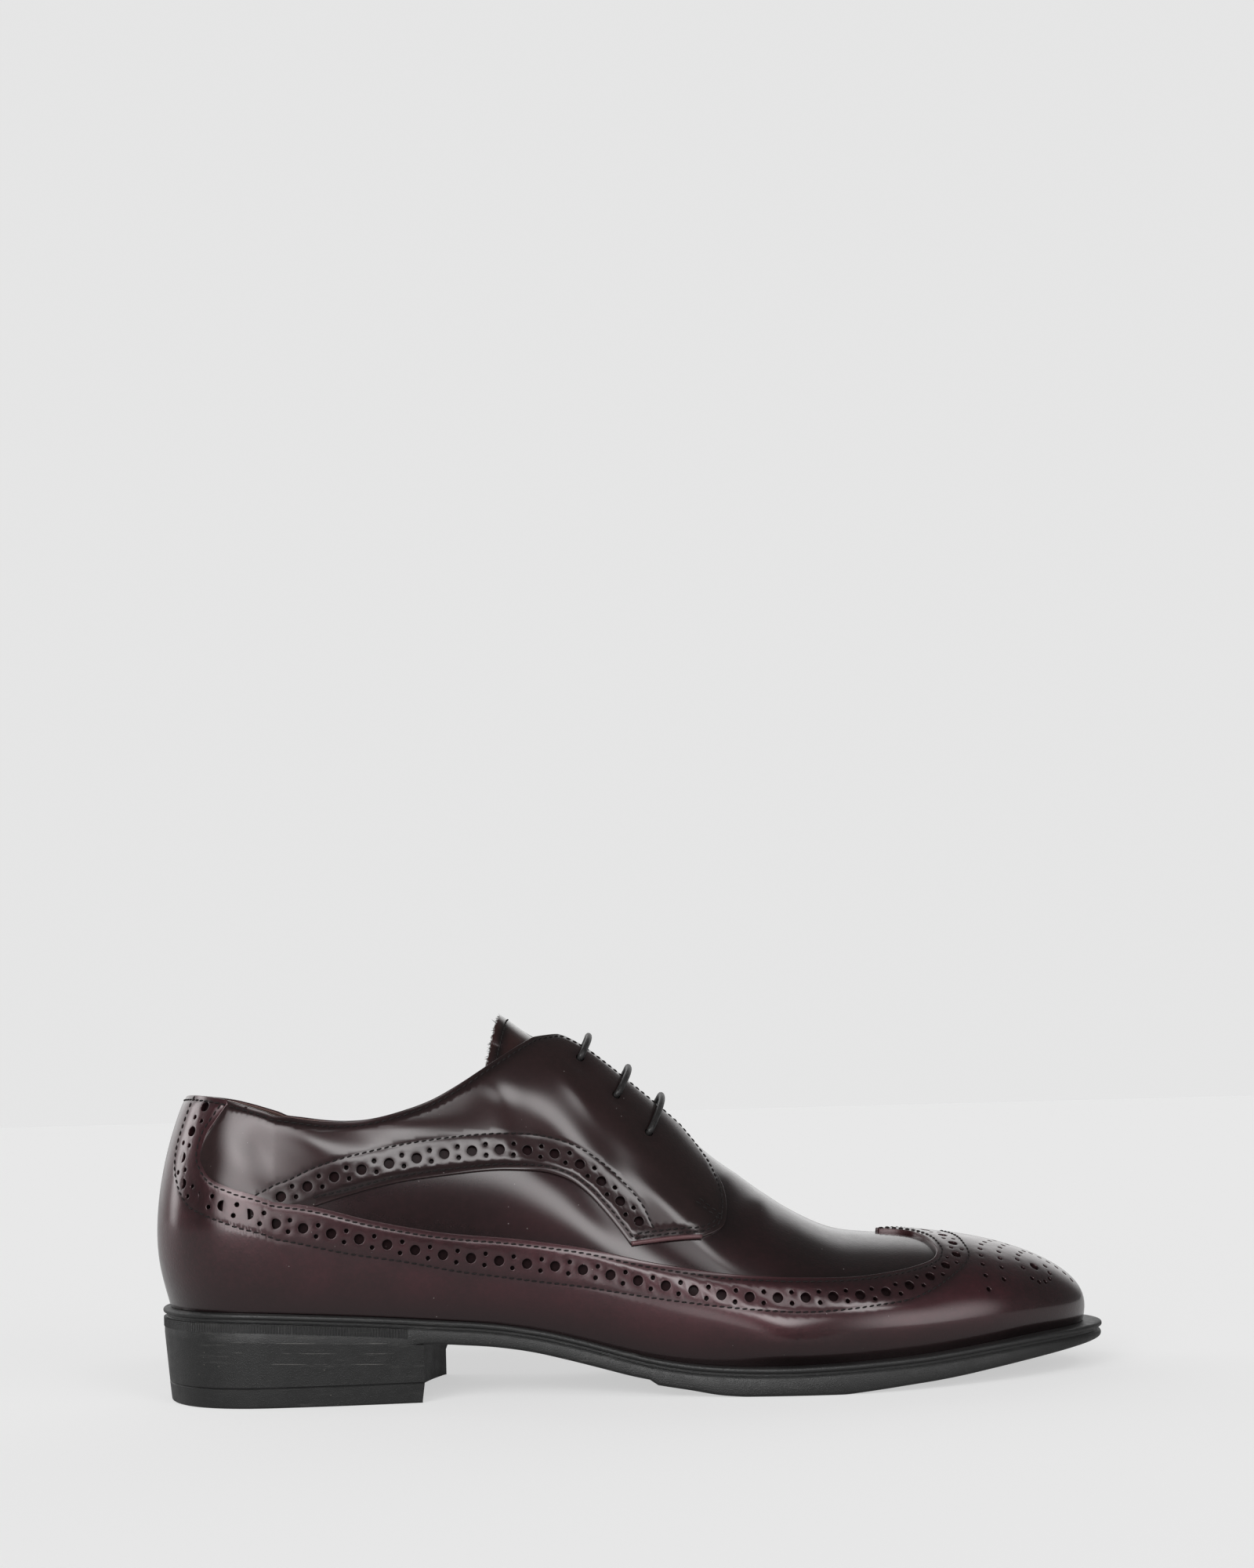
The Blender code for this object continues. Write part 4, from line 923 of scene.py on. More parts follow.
DENTS = (
    # along the ridge, girth from the ridge, half length, half width, turn, height
    # waves of the lacing panel behind the ankle
    (0.0300, 0.0560, 0.0120, 0.0060, 40, -0.00060),
    (0.0450, 0.0520, 0.0130, 0.0050, 32, 0.00055),
    (0.0640, 0.0530, 0.0110, 0.0045, 20, -0.00025),
    (0.0800, 0.0520, 0.0140, 0.0050, -8, 0.00030),
    # the panel over the ankle and in front of it
    (0.1080, 0.0400, 0.0110, 0.0080, 60, 0.00060),
    (0.1190, 0.0500, 0.0130, 0.0070, 50, -0.00045),
    (0.1400, 0.0420, 0.0200, 0.0090, 30, -0.00050),
    (0.1560, 0.0500, 0.0090, 0.0060, 20, 0.00045),
    # round each eyelet
    (0.1330, 0.0190, 0.0036, 0.0030, 0, -0.00045),
    (0.1440, 0.0232, 0.0036, 0.0030, 0, -0.00040),
    (0.1536, 0.0297, 0.0036, 0.0030, 0, -0.00035),
    (0.1300, 0.0280, 0.0100, 0.0040, 50, 0.00020),
    # creases of the vamp in front of the panels
    (0.1800, 0.0160, 0.0022, 0.0130, 18, 0.00045),
    (0.1850, 0.0200, 0.0020, 0.0140, 20, -0.00050),
    (0.1905, 0.0190, 0.0024, 0.0120, 16, 0.00045),
    (0.1960, 0.0230, 0.0034, 0.0130, 12, -0.00022),
    # the vamp beside the panels, and the wing at the joint of the toes
    (0.1350, 0.0660, 0.0080, 0.0060, 30, -0.00025),
    (0.1720, 0.0560, 0.0090, 0.0050, 10, 0.00015),
    (0.1990, 0.0765, 0.0180, 0.0090, 0, 0.00200),
    (0.2330, 0.0480, 0.0120, 0.0050, -6, -0.00020),
)
MEDIAL_SHIFT = 0.0060       # the medial side has the same dents, a little further forward


def body_shape(flat):
    """Height of the dents and creases under flat points, for every layer of leather alike."""
    x, y = flat.T
    total = np.zeros(len(flat))
    for side in (-1, 1):
        forward = MEDIAL_SHIFT if side > 0 else 0
        strength = 0.8 if side > 0 else 1.0
        for place, girth, length, width, turn, height in DENTS:
            a, b = x - place - forward, y * side - girth
            c, s = cos(radians(turn)), sin(radians(turn))
            along, across = (a * c + b * s) / length, (b * c - a * s) / width
            total += strength * height * np.exp(-along ** 2 - across ** 2)
    low = np.clip(height_over_welt(flat) / 0.008, 0, 1)
    return total * low


def burnish_and_painted_shade(seam_map, hole_map, low=0.0):
    def shade_of(flat):
        off = seam_map(flat)
        # Burnished dye beside each row of stitches; the narrow term is painted shade in the stitch groove.
        seam = 0.6 * np.exp(-(off / 0.0022) ** 2) + 0.5 * np.exp(-(off / 0.0006) ** 2)
        hole = np.exp(-hole_map(flat) / 0.0022)
        # Painted shade: darker towards the welt, where the upper meets the sole.
        welt = np.exp(-(height_over_welt(flat) / 0.010) ** 2)
        return np.clip(0.55 * seam + 0.5 * hole + 0.9 * welt + low, 0, 1)
    return shade_of

# %% [markdown]
# The wing is the long leather that runs round the whole shoe: a peak at the toe, low sides,
# and the whole back of the heel. It is cut as one sheet, holes and all.

# %% The wing
WING_LIFT = 0.0004
ROW_INSET = 0.0014

seams = {}
wing_big, wing_small, wing_dots = [], [], []
for side in (-1, 1):
    big, small = punched_line(WING_HOLES, side, skip_last=side > 0)
    heart, dots = medallion(side)
    wing_big += [big, heart]
    wing_small.append(small)
    wing_dots.append(dots)
wing_groups = [(np.vstack(wing_big), BIG_HOLE), (np.vstack(wing_small), SMALL_HOLE),
               (np.vstack(wing_dots), MEDALLION_HOLE)]

wing_rows = []
for side in (-1, 1):
    edge = measured_line(drawn_line(WING_EDGE, side, 400), 0.0010)
    wing_rows.append(beside(edge, side * ROW_INSET)[2:-1])
    wing_rows.append(measured_line(drawn_line(WING_STITCHES, side, 400), 0.0010))
back = np.vstack([topline(-1, 0, WING_EDGE[0][0] - 0.02)[::-1], topline(1, 0, WING_EDGE[0][0] - 0.02)[1:]])
wing_rows.append(beside(measured_line(back, 0.0010), ROW_INSET))
seams["wing"] = wing_rows

wing_edge = wing_inner_edge()
edge_map = distance_map([ring_line(even_line(wing_edge, 0.0012))], SKIVE_REACH)
seam_map = distance_map(wing_rows, 0.004)
hole_map = hole_distance(wing_groups)
wing_level = leather_level(WING_LEVEL, edge_map, seam_map, hole_map, body_shape)
leather_piece("wing_leather", [welt_line(WING_LIFT), wing_edge], wing_level,
              burnish_and_painted_shade(seam_map, hole_map), hole_rings(wing_groups),
              seam_rows(wing_rows) + hole_rows(wing_groups), replaces=["wing"])

# %% [markdown]
# The two lacing panels lie over the vamp. Each has a curved band of holes, stitches all round
# its free edge, a second row along its foot, and eyelets that are only punched, with no metal.

# %% The lacing panels
EYELET = 0.00125
quarter_maps = {}


def line_map(tables):
    lines = [drawn_line(rows, side, 200) for rows in tables for side in (-1, 1)]
    return distance_map([measured_line(line, 0.0020) for line in lines], 0.010)


def beneath(flat, loops, edge_at):
    return inside(flat, loops) & (edge_at(flat) > ROW_INSET)


def under_wing(flat):
    """Painted shade, near black and matt, where the panel's lower edge lies under the holes of the wing."""
    return np.where(beneath(flat, *wing_cover), 0.93, 0.0)


wing_cover = ([welt_line(WING_LIFT), wing_inner_edge()], line_map((WING_EDGE,)))


def panel_rows(side):
    top = measured_line(topline(side, WING_EDGE[0][0] - 0.02), 0.0010)
    lace_edge = np.vstack([facing(side, FACING_FOOT)[1:], drawn_line(FRONT_EDGE, side, 60)[1:]])
    band_end = drawn_line(BAND_END, side, 30)
    free = np.vstack([top, facing(side, FACING_FOOT)[:1], lace_edge, band_end])
    free = measured_line(free, 0.0010)
    low = measured_line(drawn_line(BAND_EDGE, side, 150), 0.0010)
    turn = side * ROW_INSET
    foot = measured_line(np.vstack([lace_edge[-12:], band_end]), 0.0010)
    tack = [measured_line(to_flat(*np.array([(a[0], side, a[1]), (b[0], side, b[1])]).T), 0.0010)
            for a, b in BAR_TACK]
    return [beside(free, turn)[3:-2], beside(low, turn)[2:], beside(foot, 1.9 * turn)[1:-3],
            measured_line(drawn_line(BAND_STITCHES, side, 300), 0.0010)] + tack


for side, label in ((-1, "lateral"), (1, "medial")):
    big, small = punched_line(BAND_HOLES, side)
    laced = to_flat(np.array([e[0] for e in EYELETS]), side, np.array([e[1] for e in EYELETS]))
    groups = [(big, BIG_HOLE), (small, SMALL_HOLE), (laced, EYELET)]
    rows = panel_rows(side)
    seams["quarter_" + label] = rows
    outline = quarter_outline(side)
    edge_map = distance_map([ring_line(even_line(outline, 0.0012))], SKIVE_REACH)
    seam_map = distance_map(rows, 0.004)
    hole_map = hole_distance(groups)
    level_of = leather_level(QUARTER_LEVEL, edge_map, seam_map, hole_map, body_shape, 0.0005)
    quarter_maps[label] = level_of
    leather_piece("quarter_leather_" + label, [outline], level_of, burnish_and_painted_shade(seam_map, hole_map),
                  hole_rings(groups), seam_rows(rows) + hole_rows(groups),
                  replaces=["quarter_" + label], backing=under_wing)

# %% [markdown]
# The vamp and the lining are one hollow wall: an outer face, a rolled rim round the collar and
# the throat, and the lining inside. Under the punched holes the face carries painted shade,
# near black and matt.

# %% The vamp and the lining
def nowhere(flat):
    return np.full(len(flat), 1.0)


def vamp_level(flat):
    return body_shape(flat)


def vamp_shade(flat):
    near = np.exp(-(np.min([edge_at(flat) for _, edge_at in covers[:2]], 0) / 0.0030) ** 2)
    return np.clip(0.55 * near + 0.15, 0, 1)


collar = collar_and_throat()
panel_map = line_map((FRONT_EDGE, BAND_END, BAND_EDGE))
covers = [wing_cover]
covers += [([quarter_outline(side)], panel_map) for side in (-1, 1)]


def under_cover(flat):
    """Painted shade, near black and matt, wherever another leather lies over the vamp by more than its stitch
    row.
    """
    return np.where(np.any([beneath(flat, *cover) for cover in covers], 0), 0.93, 0.0)


vamp = leather_piece("vamp_leather", [welt_line(), collar], vamp_level, vamp_shade,
                     depth=WALL * 0.55, replaces=["upper"], backing=under_cover)


def lining_piece():
    flat, faces, mark = cut_sheet([welt_line(), collar], spacing=0.0028)
    points, facing_out, level = lay(flat, lambda f: np.full(len(f), -WALL) + body_shape(f))
    turned, turned_facing, quads, rim, turns = turned_rim(
        points, -facing_out, faces[:, ::-1], mark, np.full(len(points), WALL * 0.5))
    values = {"edge": np.concatenate([np.zeros(len(flat)),
                                      np.repeat((np.arange(turns) + 1) / turns, len(rim))])}
    return make_piece("lining", np.vstack([points, turned]),
                      faces[:, ::-1].tolist() + quads.tolist(),
                      np.vstack([-facing_out, turned_facing]), values)


lining_piece()

# %% [markdown]
# The tongue lies inside the lacing panels. Its top is cut raw: the knife has left a rough,
# fibrous edge, with a row of stitches a little below it.

# %% The tongue
TONGUE_LEVEL = -0.0020
TONGUE_THICKNESS = 0.0015
TONGUE_ROW = 0.0024         # from the raw edge down to the stitches
ROUGH = 0.00022
rough = np.random.default_rng(7)
tongue_top_x = ridge_x(TONGUE_TOP)
tongue_length = ridge_x(TONGUE_FOOT) - tongue_top_x


def tongue_outline():
    half = [(tongue_top_x + along * tongue_length, -across * TONGUE_HALF_WIDTH)
            for along, across in TONGUE_EDGE]
    return np.array(half + [(x, -y) for x, y in half[-2:0:-1]])


tongue_loop = even_line(tongue_outline(), 0.0006)
raw_edge = tongue_outline()[np.r_[-4:0, 0:5]]
is_raw = (tongue_loop[:, 0] < tongue_top_x + 0.0005) & (
    np.abs(tongue_loop[:, 1]) < 0.97 * TONGUE_HALF_WIDTH)
tongue_loop[:, 0] += np.where(is_raw, rough.normal(0, ROUGH, len(tongue_loop)), 0)
seams["tongue"] = [measured_line(raw_edge[1:-1] + (TONGUE_ROW, 0), 0.0010)]
tongue_seam = distance_map(seams["tongue"], 0.004)


def tongue_level(flat):
    along = (flat[:, 0] - tongue_top_x) / tongue_length
    middle = np.maximum(1 - (flat[:, 1] / SPRING_HALF_WIDTH) ** 2, 0)
    spring = TONGUE_SPRING * curve_through(TONGUE_RISE, along) * middle
    return TONGUE_LEVEL + spring - SEAM_DEPTH * np.exp(-(tongue_seam(flat) / SEAM_REACH) ** 2)


def tongue_piece():
    flat, faces, mark = cut_sheet([tongue_loop], rows=seam_rows(seams["tongue"]))
    points, facing_out, level = lay(flat, tongue_level)
    turned, turned_facing, quads, rim, turns = turned_rim(
        points, facing_out, faces, mark, np.full(len(points), TONGUE_THICKNESS))
    back = points - facing_out * TONGUE_THICKNESS
    shade = np.exp(-(tongue_seam(flat) / 0.002) ** 2)
    edge = np.concatenate([np.zeros(len(flat)), np.repeat((np.arange(turns) + 1) / turns, len(rim)),
                           np.ones(len(flat)) * 0])
    # The back of the tongue takes painted shade, near black.
    values = {"shade": np.concatenate([shade, np.tile(shade[rim], turns), shade * 0]), "edge": edge,
              "hole_and_backing_shade": np.concatenate([np.zeros(len(flat) + len(turned)), np.ones(len(flat))])}
    start = len(points) + len(turned)
    return make_piece("tongue_leather", np.vstack([points, turned, back]),
                      faces.tolist() + quads.tolist() + (start + faces[:, ::-1]).tolist(),
                      np.vstack([facing_out, turned_facing, -facing_out]), values, ["tongue"])


tongue_piece()


def raw_fibres():
    """Tufts of loose fibre all along the raw edge, each a thin bent spike."""
    root = measured_line(raw_edge, 0.00042)
    root = root + rough.normal(0, 0.00012, root.shape)
    depth = rough.uniform(0.0002, TONGUE_THICKNESS, len(root))
    solid, facing_out, _ = lay(root, tongue_level)
    solid = solid - facing_out * depth[:, None]
    back = unit(np.cross(facing_out, np.gradient(solid, axis=0)))
    back = back * np.sign(-back[:, :1])
    points, faces = [], []
    for base, out, up in zip(solid, back, facing_out):
        side = np.cross(out, up)
        lean = out + rough.normal(0, 0.45, 3)
        length, width = rough.uniform(0.0003, 0.0010), rough.uniform(0.00010, 0.00022)
        ring = [base + width * (side * cos(a) + up * sin(a)) - out * 0.0003 for a in (0, 2.1, 4.2)]
        middle = [base + 0.6 * width * (side * cos(a) + up * sin(a)) + lean * length * 0.5
                  for a in (0, 2.1, 4.2)]
        tip = base + (lean + 0.4 * rough.normal(0, 1, 3)) * length
        start = len(points)
        points += ring + middle + [tip]
        faces += [(start + i, start + (i + 1) % 3, start + 3 + (i + 1) % 3, start + 3 + i)
                  for i in range(3)]
        faces += [(start + 3 + i, start + 3 + (i + 1) % 3, start + 6) for i in range(3)]
    return make_piece("tongue_fibres", np.array(points), faces)


raw_fibres()

# %% [markdown]
# Each stitch is a short rounded bar of waxed thread, sunk at both ends where the needle went
# through. All stitches of one piece are one mesh, made from one small pattern bar.

# %% Stitches
STITCH_PITCH = 0.0023
STITCH_LENGTH = 0.00175
STITCH_WIDTH = 0.00027
STITCH_TURN = radians(7)


def stitch_pattern():
    """Rings of a rounded bar along x: points and faces."""
    spots = ((-0.5, 0.30, -0.55), (-0.38, 0.85, -0.1), (-0.12, 1.0, 0.25), (0.12, 1.0, 0.25),
             (0.38, 0.85, -0.1), (0.5, 0.30, -0.55))
    angle = np.arange(6) * pi / 3
    ring = np.stack([np.cos(angle), np.sin(angle)], 1)
    points = [(STITCH_LENGTH * x, STITCH_WIDTH * r * u, STITCH_WIDTH * (r * v * 0.8 + z))
              for x, r, z in spots for u, v in ring]
    faces = [(6 * k + i, 6 * k + (i + 1) % 6, 6 * k + 6 + (i + 1) % 6, 6 * k + 6 + i)
             for k in range(len(spots) - 1) for i in range(6)]
    faces += [tuple(range(6)), tuple(range(6 * len(spots) - 1, 6 * len(spots) - 7, -1))]
    return np.array(points), faces


def stitch_rows(name, rows, level_of, pitch=STITCH_PITCH):
    bar, bar_faces = stitch_pattern()
    points, faces = [], []
    for row in rows:
        place = measured_line(row, pitch)
        solid, facing_out, level = lay(place, level_of)
        ahead = unit(np.gradient(solid, axis=0))
        ahead = unit(ahead - facing_out * (ahead * facing_out).sum(1, keepdims=True))
        across = np.cross(facing_out, ahead)
        ahead, across = (ahead * cos(STITCH_TURN) + across * sin(STITCH_TURN),
                         across * cos(STITCH_TURN) - ahead * sin(STITCH_TURN))
        for middle, a, b, n in zip(solid + facing_out * 0.00004, ahead, across, facing_out):
            faces += [tuple(len(points) * len(bar) + i for i in face) for face in bar_faces]
            points.append(middle + bar @ np.stack([a, b, n]))
    return make_piece(name, np.vstack(points), faces)


stitch_rows("wing_stitching", seams["wing"], wing_level)
for label in ("lateral", "medial"):
    stitch_rows("quarter_stitching_" + label, seams["quarter_" + label], quarter_maps[label])
stitch_rows("tongue_stitching", seams["tongue"], tongue_level)

# %% [markdown]
# The lace is one thin round waxed cord. It comes up out of each eyelet, bends over the edge of
# the panel and crosses the tongue as a straight bar. Under the panels it isn't seen.

# %% The lace
LACE_RADIUS = 0.00105
BRAID_PITCH = 0.0026
BRAID_HEIGHT = 0.055


def lace_path(eyelet):
    station, share, crossing = eyelet
    ends = [to_flat(station, side, share) for side in (-1, 1)]
    sunk = [over(ends[0][None], level)[0] for level in (-0.0008, 0.0006, 0.0018)]
    rise = [over(ends[1][None], level)[0] for level in (0.0018, 0.0006, -0.0008)]
    run = np.linspace(-0.90, 0.90, 15)
    reach = np.where(run < 0, -ends[0][1], ends[1][1])
    x = ends[0][0] + (ridge_x(crossing) - ends[0][0]) * np.cos(run * pi / 2)
    level = QUARTER_LEVEL + LACE_RADIUS + 0.0002 + 0.0006 * np.cos(run * pi / 2)
    bar = over(np.stack([x, run * reach], 1), level)
    return np.vstack([sunk, bar, rise])


def tube_along(path, spacing, sides, radius_of):
    run = np.concatenate([[0], np.cumsum(np.linalg.norm(np.diff(path, axis=0), axis=1))])
    places = np.linspace(0, run[-1], round(run[-1] / spacing))
    centre = np.stack([curve_through(np.stack([run, axis], 1), places) for axis in path.T], 1)
    ahead = unit(np.gradient(centre, axis=0))
    side = unit(np.cross(ahead[0], (0, 0, 1.0)))
    points = []
    for k in range(len(centre)):
        side = unit(side - ahead[k] * (side @ ahead[k]))
        other = np.cross(ahead[k], side)
        angle = np.arange(sides) * 2 * pi / sides
        radius = radius_of(places[k], angle)
        points.append(centre[k] + radius[:, None] * (
            np.cos(angle)[:, None] * side + np.sin(angle)[:, None] * other))
    faces = [(k * sides + i, k * sides + (i + 1) % sides, (k + 1) * sides + (i + 1) % sides,
              (k + 1) * sides + i) for k in range(len(centre) - 1) for i in range(sides)]
    faces += [tuple(range(sides))[::-1],
              tuple(range((len(centre) - 1) * sides, len(centre) * sides))]
    return np.vstack(points), faces


def braid(place, angle):
    turn = 2 * pi * place / BRAID_PITCH
    weave = np.cos(4 * angle + turn * 2) * np.cos(4 * angle - turn * 2)
    return LACE_RADIUS * (1 - BRAID_HEIGHT / 2 + BRAID_HEIGHT / 2 * weave)


for eyelet, label in zip(EYELETS, ("top", "middle", "low")):
    points, faces = tube_along(lace_path(eyelet), 0.00022, 24, braid)
    make_piece("lace_" + label, points, faces, replaces=["lace_bar_" + label])

# %% [markdown]
# Where leather is turned over and closed, a round bead of it shows: the lining's bead along the
# collar, and the thick turned foot of each lacing panel.

# %% Beads of turned leather
COLLAR_BEAD = 0.00055
FOOT_BEAD = 0.00075


def bead(name, lines, level, radius):
    points, faces = np.zeros((0, 3)), []
    for line in lines:
        path = over(line, np.full(len(line), level))
        more, more_faces = tube_along(path, 0.0009, 10, lambda place, angle: np.full(len(angle), radius))
        faces += [tuple(len(points) + i for i in face) for face in more_faces]
        points = np.vstack([points, more])
    return make_piece(name, points, faces)


collar_line = np.vstack([topline(-1)[::-1], topline(1)[1:]])
bead("collar_bead", [measured_line(collar_line, 0.0020)], -0.0002, COLLAR_BEAD)
bead("foot_bead", [measured_line(drawn_line(BAND_END, side, 30), 0.0020) for side in (-1, 1)],
     0.0007, FOOT_BEAD)

# %% [markdown]
# The sole is one rubber moulding: a rounded rim, a groove under it, a side wall, the arch, the
# step of the tread and the hollow-fronted heel. It is lofted through rings that follow the
# edge of the sole, close together where an edge is rounded.

# %% The rubber sole
WELT_RIM = 0.0018
WELT_GROOVE = 0.0011
SIDE_TAPER = 0.0003
EDGE_ROUND = 0.0010
HEEL_TAPER = 0.0012
HEEL_BLANK = 0.330
BREAST = ((0.268, -0.335), (0.297, 0.310))
BREAST_RADIUS = 0.085


def ring_stations(heel_count, side_count, toe_count):
    middle = list(np.linspace(1, 2, side_count))
    steps = [TREAD_FROM + TREAD_STEP_RUN * k / 4 for k in range(5)]
    steps += [SOLE_UNDERSIDE[0][0] - 0.001, SOLE_UNDERSIDE[0][0] + 0.001]
    middle += [1 + (share * SHOE_LENGTH - HEEL_TURN) / SIDE_RUN for share in steps]
    return np.array(list(np.linspace(0, 1, heel_count)[:-1]) + sorted(middle)
                    + list(np.linspace(2, 3, toe_count)[1:]))


def reach_at(station, side, reach=SOLE_REACH):
    """How far the sole's edge lies from the middle line, at any place round it."""
    run = np.interp(station, (0, 1, 2, 3), TURNS)
    place = np.where(side < 0, run, 2 * HALF_ROUND - run) / STEP
    return np.interp(place, np.arange(ROUND_STEPS + 1), np.append(reach, reach[0]))


def sole_ring(stations, inset, height, from_foot=False):
    count = len(stations)
    station = np.concatenate([stations, stations[-2:0:-1]])
    side = np.concatenate([np.full(count, -1.0), np.full(count - 2, 1.0)])
    spine, outward = section_frames(station, side)
    reach = reach_at(station, side)
    if from_foot:
        reach = reach - reach_at(station, side, BALL_WIDTH * column(1, 2))
    if callable(inset):
        inset = inset((spine + outward * reach[:, None])[:, 0])
    plan = spine + outward * np.reshape(reach - inset, (-1, 1))
    return np.column_stack([plan, height(plan[:, 0])])


def strip_caps(count, start):
    faces = []
    for i in range(count // 2):
        near, far = (i, i + 1), ((count - i) % count, count - i - 1)
        strip = [start + near[0], start + near[1], start + far[1], start + far[0]]
        faces.append(tuple(dict.fromkeys(strip)))
    return faces


def loft(name, rings, replaces, sharp=32):
    count = len(rings[0])
    faces = [(k * count + i, k * count + (i + 1) % count, (k + 1) * count + (i + 1) % count,
              (k + 1) * count + i) for k in range(len(rings) - 1) for i in range(count)]
    faces += strip_caps(count, 0) + [face[::-1] for face in strip_caps(count, (len(rings) - 1) * count)]
    piece = make_piece(name, np.vstack(rings), faces, replaces=replaces)
    piece.data.set_sharp_from_angle(angle=radians(sharp))
    return piece


def below_welt(depth):
    return lambda x: welt_height(x) - depth


def beyond_heel(size, start=0.0):
    """A size that holds in front of the heel only: the heel is moulded on without a seam."""
    breast = min(x for x, y in BREAST) * SHOE_LENGTH
    return lambda x: start + size * np.clip((x - breast) / 0.004 + 1, 0, 1)


def above_underside(rise):
    return lambda x: underside_height(x) + beyond_heel(rise)(x)


GROOVE = WELT_RIM + 0.0003
stations = ring_stations(40, 150, 44)
rim_round = [(0.0010 * (1 - sin(a)), 0.0009 * (1 - cos(a))) for a in np.linspace(0, pi / 2, 6)]
rim_under = [(0.0007 * (1 - cos(a)), WELT_RIM - 0.0007 * (1 - sin(a)))
             for a in np.linspace(0, pi / 2, 5)]
edge_round = [(EDGE_ROUND * (1 - cos(a)), EDGE_ROUND * (1 - sin(a)))
              for a in np.linspace(0, pi / 2, 6)]
sole_rings = [sole_ring(stations, WALL, below_welt(0.0), True)]
sole_rings += [sole_ring(stations, out, below_welt(down)) for out, down in rim_round + rim_under]
sole_rings += [sole_ring(stations, out, below_welt(GROOVE + down)) for out, down in (
    (WELT_GROOVE, -0.0002), (WELT_GROOVE, 0.0005), (0.0006, 0.0010), (0.0003, 0.0016))]
sole_rings += [sole_ring(stations, beyond_heel(out, SIDE_TAPER), above_underside(up))
               for out, up in edge_round]
loft("rubber_sole", sole_rings, ["outsole"])

# %% [markdown]
# The heel is hollowed in front by the round of a cylinder. Here the ring of the heel is cut
# with a little plane geometry, so that its edges can be rounded like moulded rubber.

# %% The heel
def breast_line(count):
    """Points of the hollowed front of the heel, from the medial side to the lateral."""
    ends = np.array([(x * SHOE_LENGTH, y * BALL_WIDTH) for x, y in BREAST])
    middle, chord = ends.mean(0), ends[1] - ends[0]
    span = np.hypot(*chord)
    forward = np.array([chord[1], -chord[0]]) / span
    centre = middle + forward * (BREAST_RADIUS ** 2 - span ** 2 / 4) ** 0.5
    start, end = (atan2(*(p - centre)[::-1]) % (2 * pi) for p in ends[::-1])
    angle = np.linspace(start, end, count)
    return centre + BREAST_RADIUS * np.stack([np.cos(angle), np.sin(angle)], 1)


def heel_ring(inset, height, count=28):
    """The back of the sole's edge, closed by the hollowed front."""
    arc = breast_line(200)
    last_station = 1 + (HEEL_BLANK * SHOE_LENGTH - HEEL_TURN) / SIDE_RUN
    dense = np.concatenate([np.linspace(0, 1, 60)[:-1], np.linspace(1, last_station, 90)])
    ring = sole_ring(np.append(dense, 3.0), inset, lambda x: x * 0)[:, :2]
    ring = np.delete(ring, len(dense), 0)
    lateral, medial = ring[:len(dense)], np.vstack([ring[:1], ring[:len(dense) - 1:-1]])
    sides = []
    for line in (lateral, medial):
        gap = np.hypot(*(line[:, None] - arc[None]).transpose(2, 0, 1))
        i, j = np.unravel_index(gap.argmin(), gap.shape)
        run = np.concatenate([[0], np.cumsum(np.hypot(*np.diff(line[:i + 1], axis=0).T))])
        even = np.linspace(0, run[-1], 64)
        sides.append((np.stack([np.interp(even, run, axis) for axis in line[:i + 1].T], 1), j))
    (lateral, a), (medial, b) = sides
    front = arc[a:b + 1] if a < b else arc[b:a + 1][::-1]
    even = np.linspace(0, len(front) - 1, count)
    front = np.stack([np.interp(even, np.arange(len(front)), axis) for axis in front.T], 1)
    plan = np.vstack([lateral, front[1:-1], medial[:0:-1]])
    return np.column_stack([plan, height(plan[:, 0])])


def flat_loft(name, rings, replaces, sharp=32):
    count = len(rings[0])
    faces = [(k * count + i, k * count + (i + 1) % count, (k + 1) * count + (i + 1) % count,
              (k + 1) * count + i) for k in range(len(rings) - 1) for i in range(count)]
    faces += [tuple(range(count))[::-1], tuple(range((len(rings) - 1) * count, len(rings) * count))]
    piece = make_piece(name, np.vstack(rings), faces, replaces=replaces)
    piece.data.set_sharp_from_angle(angle=radians(sharp))
    return piece


def level_at(height):
    return lambda x: np.full_like(x, height)


heel_foot = SIDE_TAPER + HEEL_TAPER
heel_rings = [heel_ring(SIDE_TAPER, seat_height)]
heel_rings += [heel_ring(SIDE_TAPER + HEEL_TAPER * k / 6,
                         lambda x, k=k: seat_height(x) + (TOP_LIFT + 0.0003 - seat_height(x)) * k / 6)
               for k in range(1, 7)]
heel_rings.append(heel_ring(heel_foot + 0.0003, level_at(TOP_LIFT)))
flat_loft("heel_rubber", heel_rings[::-1], ["heel_block"])
lift_round = [(heel_foot + 0.0003, TOP_LIFT), (heel_foot, TOP_LIFT - 0.0003)]
lift_round += [(heel_foot + 0.0005 + 0.0008 * (1 - cos(a)), 0.0008 * (1 - sin(a)))
               for a in np.linspace(0, pi / 2, 5)]
flat_loft("top_lift_rubber", [heel_ring(out, level_at(up)) for out, up in lift_round[::-1]],
          ["top_lift"])

# %% [markdown]
# Round the back of the sole, under the rim, the mould has left a band of fine upright ribs.

# %% The ribbed band
RIB_PITCH = 0.00095
RIB_HEIGHT = 0.00020
RIB_TOP = 0.0029            # below the top of the rim
RIB_LENGTH = 0.0030
RIBS_TO = 0.252             # where the band ends, share of the shoe's length


